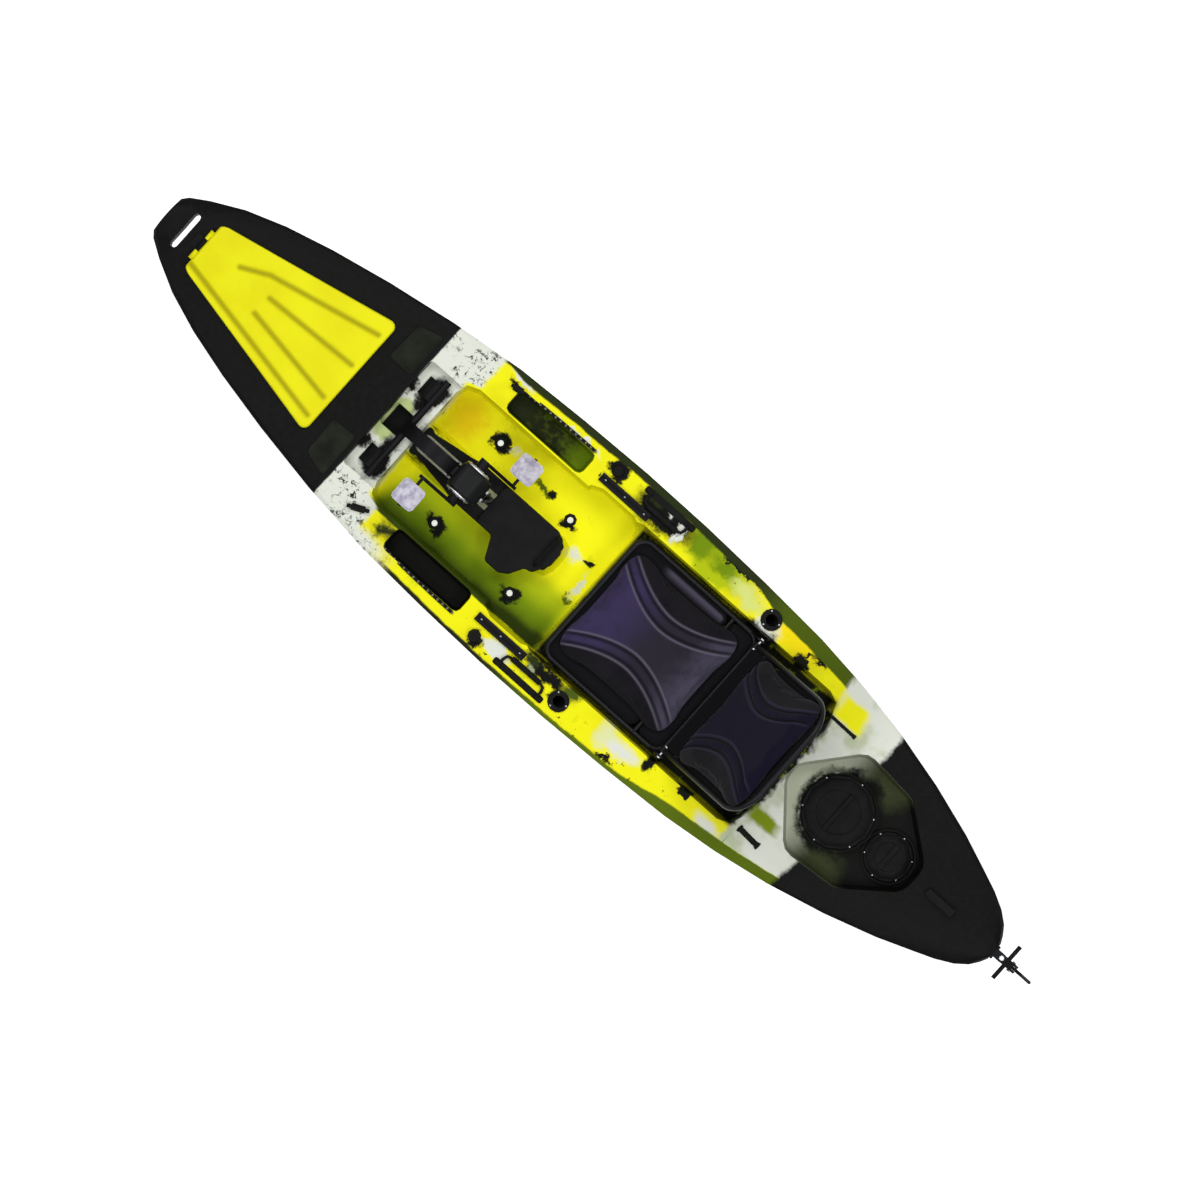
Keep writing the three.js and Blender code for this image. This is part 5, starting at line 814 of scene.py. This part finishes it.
# Deck straps: flat webbing laid beside the tank well and the seat, each held down by two black plates.
# The webbing is woven nylon, 12 to 22 mm wide, and it follows the deck.
webbing = Finish("nylon_webbing", "seal_rubber", specular=0.04)
wave = {"Vector": webbing.place(), "Scale": 150, "Distortion": 0.3}
twill = webbing.node("ShaderNodeTexWave", wave, bands_direction="DIAGONAL")
tones = webbing.mix(twill.within(0.3, 0.8), paint(18, 19, 16), paint(36, 38, 32))
webbing.surface(tones, 0.78 + webbing.noise(60, 2, 0.5) * 0.16, twill, 0.5, 0.0008)
plate_inset, plate_half, plate_rise, plate_tall = 0.006, 0.005, 0.002, 0.003
for name, a, b, width in [
    ("strap_aft_starboard", (-0.915, -0.2285), (-1.045, -0.2265), 0.012),
    ("strap_aft_port", (-0.95, 0.262), (-1.045, 0.268), 0.02),
    ("strap_seat_port", (-0.715, 0.300), (-0.757, 0.302), 0.022),
    ("strap_seat_starboard", (-0.715, -0.300), (-0.757, -0.302), 0.022),
]:
    a, b = Vector(a), Vector(b)
    along_strap = (b - a).normalized()
    across_strap = (b - a).orthogonal().normalized() * width / 2
    plan = [a - across_strap, b - across_strap, b + across_strap, a + across_strap]
    laid(name, plan, 0.0016, webbing, (24, 6), width * 0.2)
    plates = bmesh.new()
    for sign in (-1, 1):
        spot = (a + b) / 2 + along_strap * sign * ((b - a).length / 2 - plate_inset)
        ends = [on_deck(*(spot + along_strap * reach), plate_rise) for reach in (-plate_half, plate_half)]
        bar(plates, *ends, width * 1.3, plate_tall, 0.001)
    added(f"{name}_plates", plates, grained, sharp=40)


# Drive well: the black moulded collar on the console and the lift-out cover with its bar grip.
# Their matt grain is the same as that of the other black mouldings.
moulded("drive_well_frame", "drive_well_collar", grained, bevel=0.0015)
moulded("drive_well_cover", "drive_well_lid", grained, bevel=0.0015)


# Pedal drive: a black moulded housing and leg, silver side covers, steel gears and a two-bladed propeller.
# The mouldings are glass-filled nylon, a little smoother than the deck fittings.
nylon = Finish("filled_nylon", "drive_black", specular=0.1)
mottle = nylon.noise(300)
tones = nylon.mix(nylon.noise(12).within(0.3, 0.7), paint(14, 15, 15), paint(22, 23, 24))
nylon.surface(tones, 0.34 + mottle * 0.18, mottle, 0.16, 0.0012)
moulded("drive_housing", "drive_body", nylon, bevel=0.002, segments=3)
moulded("gearcase", "lower_unit", nylon, bevel=0.002, segments=3)
moulded("propeller", "propeller_moulding", nylon, bevel=0.0008)
brushed = Finish("brushed_aluminium", "silver", metallic=1.0)
brushing = brushed.noise(120, stretch=(1, 0.1, 1))
brushed.surface(paint(190, 192, 194), 0.3 + brushing * 0.2, brushed.noise(500, 2, 0.5), 0.06, 0.001)
for node, name in [
    ("crank_cover_port", "side_cover_port"), ("crank_cover_starboard", "side_cover_starboard"),
    ("propeller_bearing", "bearing_ring"),
]:
    moulded(node, name, brushed, bevel=0.0008)
for node, name in [
    ("crank_gear", "crank_bevel_gear"), ("drive_shaft", "upright_shaft_steel"),
    ("shaft_gear", "shaft_bevel_gear"), ("propeller_shaft", "propeller_shaft_steel"),
    ("crank_axle", "crank_axle_steel"), ("arm_hinge_bolt", "arm_bolt"),
]:
    moulded(node, name, steel, bevel=0.0003)
axle_x, axle_z, bolt_ring, cover_y = 0.512, 0.342, 0.034, 0.0583
for side, sign in sides:
    spots = []
    for angle in (math.tau * i / 6 for i in range(6)):
        across, up = bolt_ring * math.cos(angle), bolt_ring * math.sin(angle)
        spots.append((axle_x + across, sign * cover_y, axle_z + up))
    screws(f"side_cover_{side}_bolts", spots, (0, sign, 0), 0.0034)


# Cranks and pedals: black forged arms on the steel axle, and pale moulded pedals with a studded grip.
# The pedals turn freely on spindles fixed in the arms.
pedal_grey = Finish("pale_pedal_plastic", "pedal_plastic", specular=0.15)
worn = pedal_grey.noise(34, 4, 0.65).within(0.35, 0.7)
tones = pedal_grey.mix(worn, paint(196, 193, 204), paint(142, 136, 158))
studded = pedal_grey.cells(95, 0.0).within(0.15, 0.4)
pedal_grey.surface(tones, 0.42 + pedal_grey.noise(80) * 0.16, studded, 0.35, 0.0012)
for side, _ in sides:
    moulded(f"crank_arm_{side}", f"crank_{side}", anodised, bevel=0.0016, segments=3)
    moulded(f"pedal_{side}", f"pedal_{side}_platform", pedal_grey, bevel=0.003, segments=3)


# Mounting arm: an arched and pierced black arm from the housing to a cross tube held in two deck saddles.
# The arm and the tube are aluminium under a black finish, and the saddles are mouldings.
moulded("mounting_arm", "arched_arm", anodised, bevel=0.0014, segments=3)
moulded("arm_cross_tube", "cross_tube", anodised, bevel=0.0006)
for side, _ in sides:
    moulded(f"tube_saddle_{side}", f"deck_saddle_{side}", grained, bevel=0.0014)


# Rudder: a bracket on the stern, a steering head on an upright pin, and a blade that kicks up aground.
# The bracket is black anodised aluminium, held by four screws, and the head and the blade are mouldings.
for node, name, finish in [
    ("rudder_bracket", "stern_bracket", anodised), ("rudder_head", "steering_head", grained),
    ("rudder_blade", "kick_up_blade", grained), ("rudder_pin", "rudder_pintle", steel),
    ("rudder_bolt", "blade_bolt", steel),
]:
    moulded(node, name, finish, bevel=0.0012 if finish is grained else 0.0005)
bracket_x = -1.8832
spots = [(bracket_x, py, pz) for py in (-0.021, 0.021) for pz in (0.281, 0.317)]
screws("stern_bracket_screws", spots, (-1, 0, 0), 0.0036)


# Seat frame: a base and a reclining back, bent from black tube and pinned together at the rear corners.
# The back's foot turns on two stainless pins, so the cushion and its sling ride with it.
tube_black = Finish("anodised_tube", "frame_tube", metallic=0.5, specular=0.1)
tube_black.surface(
    paint(26, 26, 28), 0.26 + tube_black.noise(60) * 0.16, tube_black.noise(400, 2, 0.5), 0.05, 0.001)
tube_radius, level = 0.011, Matrix.Identity(4)
base_y, base_z, base_front, base_rear, base_bend = 0.26, 0.236, -0.054, -0.584, 0.045
back_y, back_length, back_bend = 0.236, 0.54, 0.11
recline = Matrix.Translation((-0.588, 0, 0.302)) @ Matrix.Rotation(math.radians(52), 4, "Y")


def bent(corners, bend, closed):
    """A flat path whose inner corners are bent to a radius, as a tube bender leaves them."""
    corners = [Vector(corner) for corner in corners]
    path = []
    for i, corner in enumerate(corners):
        if not closed and i in (0, len(corners) - 1):
            path.append(corner)
            continue
        to_last = (corners[i - 1] - corner).normalized()
        to_next = (corners[(i + 1) % len(corners)] - corner).normalized()
        middle = corner + (to_last + to_next) * bend
        for step in range(13):
            turn = math.pi / 2 * step / 12
            path.append(middle - to_next * bend * math.cos(turn) - to_last * bend * math.sin(turn))
    return path


def tube(shape, path, radius, place, closed=False):
    """A round tube along a flat path."""
    rings = []
    for i, point in enumerate(path):
        last = path[i - 1] if closed or i else point
        after = path[(i + 1) % len(path)] if closed or i < len(path) - 1 else point
        heading = (after - last).normalized()
        made = bmesh.ops.create_circle(shape, segments=20, radius=radius, cap_ends=False)["verts"]
        stand = Matrix.Translation(point) @ heading.to_track_quat("Z", "Y").to_matrix().to_4x4()
        bmesh.ops.transform(shape, matrix=place @ stand, verts=made)
        rings.append(edges_of(made))
    pairs = list(zip(rings, rings[1:]))
    if closed:
        pairs.append((rings[-1], rings[0]))
    for near, far in pairs:
        bmesh.ops.bridge_loops(shape, edges=near + far)
    if not closed:
        bmesh.ops.holes_fill(shape, edges=[edge for edge in rings[0] + rings[-1] if edge.is_boundary])


shape = bmesh.new()
corners = [(base_front, base_y), (base_rear, base_y), (base_rear, -base_y), (base_front, -base_y)]
loop = bent([(*corner, base_z) for corner in corners], base_bend, True)
tube(shape, loop, tube_radius, level, closed=True)
tube(shape, [Vector((-0.469, sign * base_y, base_z)) for sign in (-1, 1)], 0.7 * tube_radius, level)
foot = [(0, 0.086), (0.0088, 0.086), (0.0088, 0.014), (0.0125, 0.011), (0.016, 0.0035), (0.016, 0), (0, 0)]
plate = [(-0.539, 0.2365), (-0.573, 0.317), (-0.603, 0.317), (-0.603, 0.2585), (-0.5615, 0.2305)]
foot_z, foot_setback, plate_wall = 0.1504, 0.07, 0.006
for sign in (-1, 1):
    for px in (base_front - foot_setback, base_rear + foot_setback):
        turned(shape, foot, Matrix.Translation((px, base_y * sign, foot_z)), 20)
    verts = [shape.verts.new((px, base_y * sign - plate_wall / 2, pz)) for px, pz in plate]
    made = bmesh.ops.extrude_face_region(shape, geom=[shape.faces.new(verts)])["geom"]
    top = [item for item in made if isinstance(item, bmesh.types.BMVert)]
    bmesh.ops.translate(shape, verts=top, vec=(0, plate_wall, 0))
    uprights = [edge for edge in shape.edges if {*edge.verts} & {*verts} and {*edge.verts} & {*top}]
    round_edges(shape, uprights, 0.01, 5)
bmesh.ops.recalc_face_normals(shape, faces=shape.faces)
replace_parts(added("seat_tube_base", shape, tube_black, sharp=40), "seat_base_frame")
shape = bmesh.new()
corners = [(0, back_y, 0), (-back_length, back_y, 0), (-back_length, -back_y, 0), (0, -back_y, 0)]
loop = bent(corners, back_bend, False)
loop[0].x = loop[-1].x = -0.006
tube(shape, loop, tube_radius, recline)
tube(shape, [Vector((-0.074, sign * back_y, 0)) for sign in (-1, 1)], 0.8 * tube_radius, recline)
eye = [(0.0044, -0.011), (0.0137, -0.011), (0.0137, 0.011), (0.0044, 0.011), (0.0044, -0.011)]
for sign in (-1, 1):
    hinge = recline @ Matrix.Translation((0, back_y * sign, 0)) @ Matrix.Rotation(math.pi / 2, 4, "X")
    turned(shape, eye, hinge, 24)
bmesh.ops.recalc_face_normals(shape, faces=shape.faces)
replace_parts(added("seat_tube_back", shape, tube_black, "seat_back", sharp=40), "seat_back_frame")
for side, _ in sides:
    moulded(f"seat_pivot_pin_{side}", f"seat_pin_{side}", steel, bevel=0.0004)


# Slings: black open-weave mesh stretched between the tubes, with a folded and stitched hem.
# A second web behind the cross tube and a flap at the foot of the back close the gap between the cushions.
mesh_cloth = Finish("black_seat_mesh", "mesh", specular=0.04)
strands, hem = mesh_cloth.cells(330, 0.1), mesh_cloth.marked("hem")
# Painted light: the mesh strip along the starboard rail is lighter, as on its lit side.
fade_and_painted_light = mesh_cloth.along("Y").below(-0.245, -0.2) * mesh_cloth.along("X").band(-0.5, -0.46, -0.22, -0.17)
open_weave = mesh_cloth.mix(strands.within(0.2, 0.5), paint(30, 29, 34), paint(9, 9, 10))
open_weave = mesh_cloth.mix(fade_and_painted_light, open_weave, paint(84, 78, 96))
tones = mesh_cloth.mix(hem, open_weave, paint(15, 15, 17))
mesh_cloth.surface(tones, 0.72 + mesh_cloth.noise(50) * 0.2, strands * (1 - hem), 0.6, 0.001)
hem_width, cloth_wall = 0.012, 0.0014


def web(name, node, body, place, rests, x0, x1, half, rise, radius, dip=0.0012):
    """A stretched cloth with rounded corners and a hem, that sags a little in the middle."""
    shape = bmesh.new()
    hem_layer = shape.verts.layers.float.new("hem")
    corners = [(x0, -half), (x1, -half), (x1, half), (x0, half)]
    for vert, edge in rounded_grid(shape, corners, radius, (40, 48)):
        vert[hem_layer] = 1.0 if edge < hem_width else 0.0
        a, b = (vert.co.x - (x0 + x1) / 2) / (x1 - x0) * 2, vert.co.y / half
        vert.co.z = rise - dip * (1 - a * a) * (1 - b * b)
    area = sum(face.calc_area() for face in shape.faces)
    bmesh.ops.transform(shape, matrix=place, verts=shape.verts)
    piece = added(name, shape, mesh_cloth, body, sharp=60)
    modified(piece, "cloth_thickness", "SOLIDIFY", thickness=cloth_wall, offset=0)
    if node:
        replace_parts(piece, node)


on_base, on_back = ("hull_body", level, ["seat_base_frame"]), ("seat_back", recline, ["seat_back_frame"])
web("seat_web", "seat_sling", *on_base, -0.458, -0.0634, 0.2506, 0.2424, 0.03)
web("back_web", "back_sling", *on_back, -0.5306, -0.096, 0.2266, 0.0065, back_bend)
web("seat_rear_web", None, *on_base, -0.5728, -0.4775, 0.249, 0.2424, 0.018)
web("back_foot_web", None, *on_back, -0.093, -0.012, 0.2245, 0.0098, 0.012, dip=0.0)


# Cushions: foam under a knitted cover, purple down the middle with black bolsters on both sides.
# Two pairs of curved channels are sewn from end to end, and they draw together at the cushion's waist.
# The cover is blown tight by a short cloth simulation, and the channels are sunk into it afterwards.
quilt = Finish("quilted_cover", "seat_fabric", specular=0.04)
bolster, sewn, channel_shade = quilt.marked("bolster"), quilt.marked("sewn"), quilt.marked("channel_shade")
cloudy, along = quilt.noise(7, 4, 0.65), quilt.along("X")
lengthwise, head = along + (cloudy - 0.5) * 0.16, along.below(-0.6, -0.57)
middle = quilt.mix(lengthwise.within(-0.34, -0.16), paint(40, 37, 46), paint(54, 46, 76))
# Painted highlight: the rear of the seat's middle is a lighter grey.
middle = quilt.mix(lengthwise.below(-0.52, -0.4), middle, paint(66, 62, 78))
middle = quilt.mix(head, middle, paint(17, 14, 30))
middle = quilt.mix(cloudy.within(0.45, 0.75) * 0.5, middle, paint(26, 24, 32))
flank = quilt.mix(cloudy.within(0.3, 0.72), paint(26, 24, 28), paint(17, 16, 20))
cover = quilt.mix(bolster.within(0.35, 0.65), middle, flank)
# Painted shade and highlight: the channels are painted dark as their shade, and the ridges marked sewn are
# painted pale as their highlight.
cover = quilt.mix(channel_shade, cover, paint(16, 15, 19))
cover = quilt.mix(sewn, cover, quilt.mix(head, paint(98, 93, 108), paint(46, 42, 60)))
knit = quilt.cells(420, 0.35) * 0.8 + quilt.noise(30) * 0.6
quilt.surface(cover, 0.82 + quilt.noise(70) * 0.14, knit, 0.45, 0.0012)
quilt.set("Sheen Weight", 0.06)
quilt.set("Sheen Roughness", 0.5)
ring_count, voxel, swell_frames, most_swell = 27, 0.0055, 20, 0.022
channel_offset, channel_half, channel_depth, bolster_offset = 0.019, 0.006, 0.009, 0.024
ridge_offset, ridge_half, ridge_rise = 0.0105, 0.0042, 0.003


def settled(thing):
    """The mesh as its modifiers leave it."""
    graph = bpy.context.evaluated_depsgraph_get()
    graph.update()
    return bpy.data.meshes.new_from_object(thing.evaluated_get(graph))


def points_of(mesh):
    """A mesh's points as rows of x, y and z."""
    points = np.empty(len(mesh.vertices) * 3)
    mesh.vertices.foreach_get("co", points)
    return points.reshape(-1, 3)


def cushion(name, node, body, place, start, length, half, base, thickness, waist, ends):
    """A crowned pad: a smooth bag is lofted, blown up, flattened below, and then sewn."""
    shape = bmesh.new()
    rings = []
    for i in range(ring_count):
        capped = i in (0, ring_count - 1)
        t = -math.cos(math.pi * i / (ring_count - 1)) * 0.998
        end = (1 - abs(t) ** 7 * 0.985) ** (1 / 7)
        wide = (half - 0.004) * (0.93 + 0.07 * t * t) * end
        tall = (thickness - 0.007) * (0.5 + 0.5 * max(1 - t ** 8, 0) ** 0.5)
        made = bmesh.ops.create_circle(shape, segments=24, radius=1, cap_ends=capped)["verts"]
        for vert in made:
            flat = math.copysign(abs(vert.co.x) ** 0.32, vert.co.x)
            high = math.copysign(abs(vert.co.y) ** 0.5, vert.co.y)
            crown_share = 1 if high < 0 else 0.86 + 0.14 * math.cos(flat * math.pi / 2)
            lift = tall * (0.5 + 0.5 * high * crown_share)
            vert.co = (start - length * (1 + t) / 2, wide * flat, base + lift)
        rings.append(edges_of(made))
    for near, far in zip(rings, rings[1:]):
        bmesh.ops.bridge_loops(shape, edges=near + far)
    bmesh.ops.recalc_face_normals(shape, faces=shape.faces)
    bag = standing(name + "_bag", shape)
    modified(bag, "even", "REMESH", mode="VOXEL", voxel_size=voxel)
    plain = settled(bag)
    bag.modifiers.clear()
    bag.data = plain
    before = points_of(plain)
    blown = bag.modifiers.new("blown", "CLOTH")
    blown.settings.use_pressure = True
    blown.settings.uniform_pressure_force = 4
    blown.settings.effector_weights.gravity = 0
    blown.settings.quality = 6
    blown.point_cache.frame_start = 1
    blown.point_cache.frame_end = swell_frames
    for step in range(1, swell_frames + 1):
        scene.frame_set(step)
    moved = points_of(settled(bag)) - before
    bag.modifiers.clear()
    scene.frame_set(1)
    size = np.maximum(np.linalg.norm(moved, axis=1, keepdims=True), 1e-9)
    plain.vertices.foreach_set("co", (before + moved * np.minimum(1, most_swell / size)).ravel())
    modified(bag, "smooth", "SUBSURF", levels=1, render_levels=1)
    skin = settled(bag)
    bpy.data.objects.remove(bag)
    points = points_of(skin)
    low, high = points.min(axis=0), points.max(axis=0)
    room = np.array([start - length, -half, 0]), np.array([start, half, 0])
    for axis in (0, 1):
        share = (points[:, axis] - low[axis]) / (high[axis] - low[axis])
        points[:, axis] = room[0][axis] + share * (room[1][axis] - room[0][axis])
    lift = (points[:, 2] - low[2]) / (high[2] - low[2])
    points[:, 2] = base + (thickness + 0.004) * np.clip((lift - 0.14) / 0.86, 0, 1)
    t = np.clip((start - points[:, 0]) / length * 2 - 1, -1, 1)
    curve = half * (waist + (ends - waist) * np.abs(t) ** 1.8)
    top = np.clip((points[:, 2] - base) / thickness * 2 - 0.5, 0, 1)
    ridge = np.zeros(len(points))
    groove = np.zeros(len(points))
    for offset in (-channel_offset, channel_offset):
        away = np.abs(points[:, 1]) - curve - offset
        groove = np.maximum(groove, np.exp(-(away / channel_half) ** 2) * top)
        beside = away - math.copysign(ridge_offset, offset)
        ridge = np.maximum(ridge, np.exp(-(beside / ridge_half) ** 2) * top)
    points[:, 2] += ridge_rise * ridge - channel_depth * groove
    skin.vertices.foreach_set("co", points.ravel())
    skin.transform(place)
    outside = np.clip((np.abs(points[:, 1]) - curve - bolster_offset) / channel_half, 0, 1)
    # The channels carry painted shade and the ridges a painted highlight.
    for label, values in (("bolster", outside), ("sewn", ridge * 0.75), ("channel_shade", groove * 0.8)):
        skin.attributes.new(label, "FLOAT", "POINT").data.foreach_set("value", values.astype(np.float32))
    skin.shade_smooth()
    skin.materials.clear()
    skin.materials.append(quilt.material)
    piece = bpy.data.objects.new(name, skin)
    scene.collection.objects.link(piece)
    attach(piece, body)
    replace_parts(piece, node)


cushion("seat_pad", "seat_cushion", "hull_body", level, -0.0703, 0.4753, 0.214, 0.2443, 0.042, 0.40, 0.84)
cushion("back_pad", "back_cushion", "seat_back", recline, -0.101, 0.4234, 0.2240, 0.0083, 0.042, 0.42, 0.80)
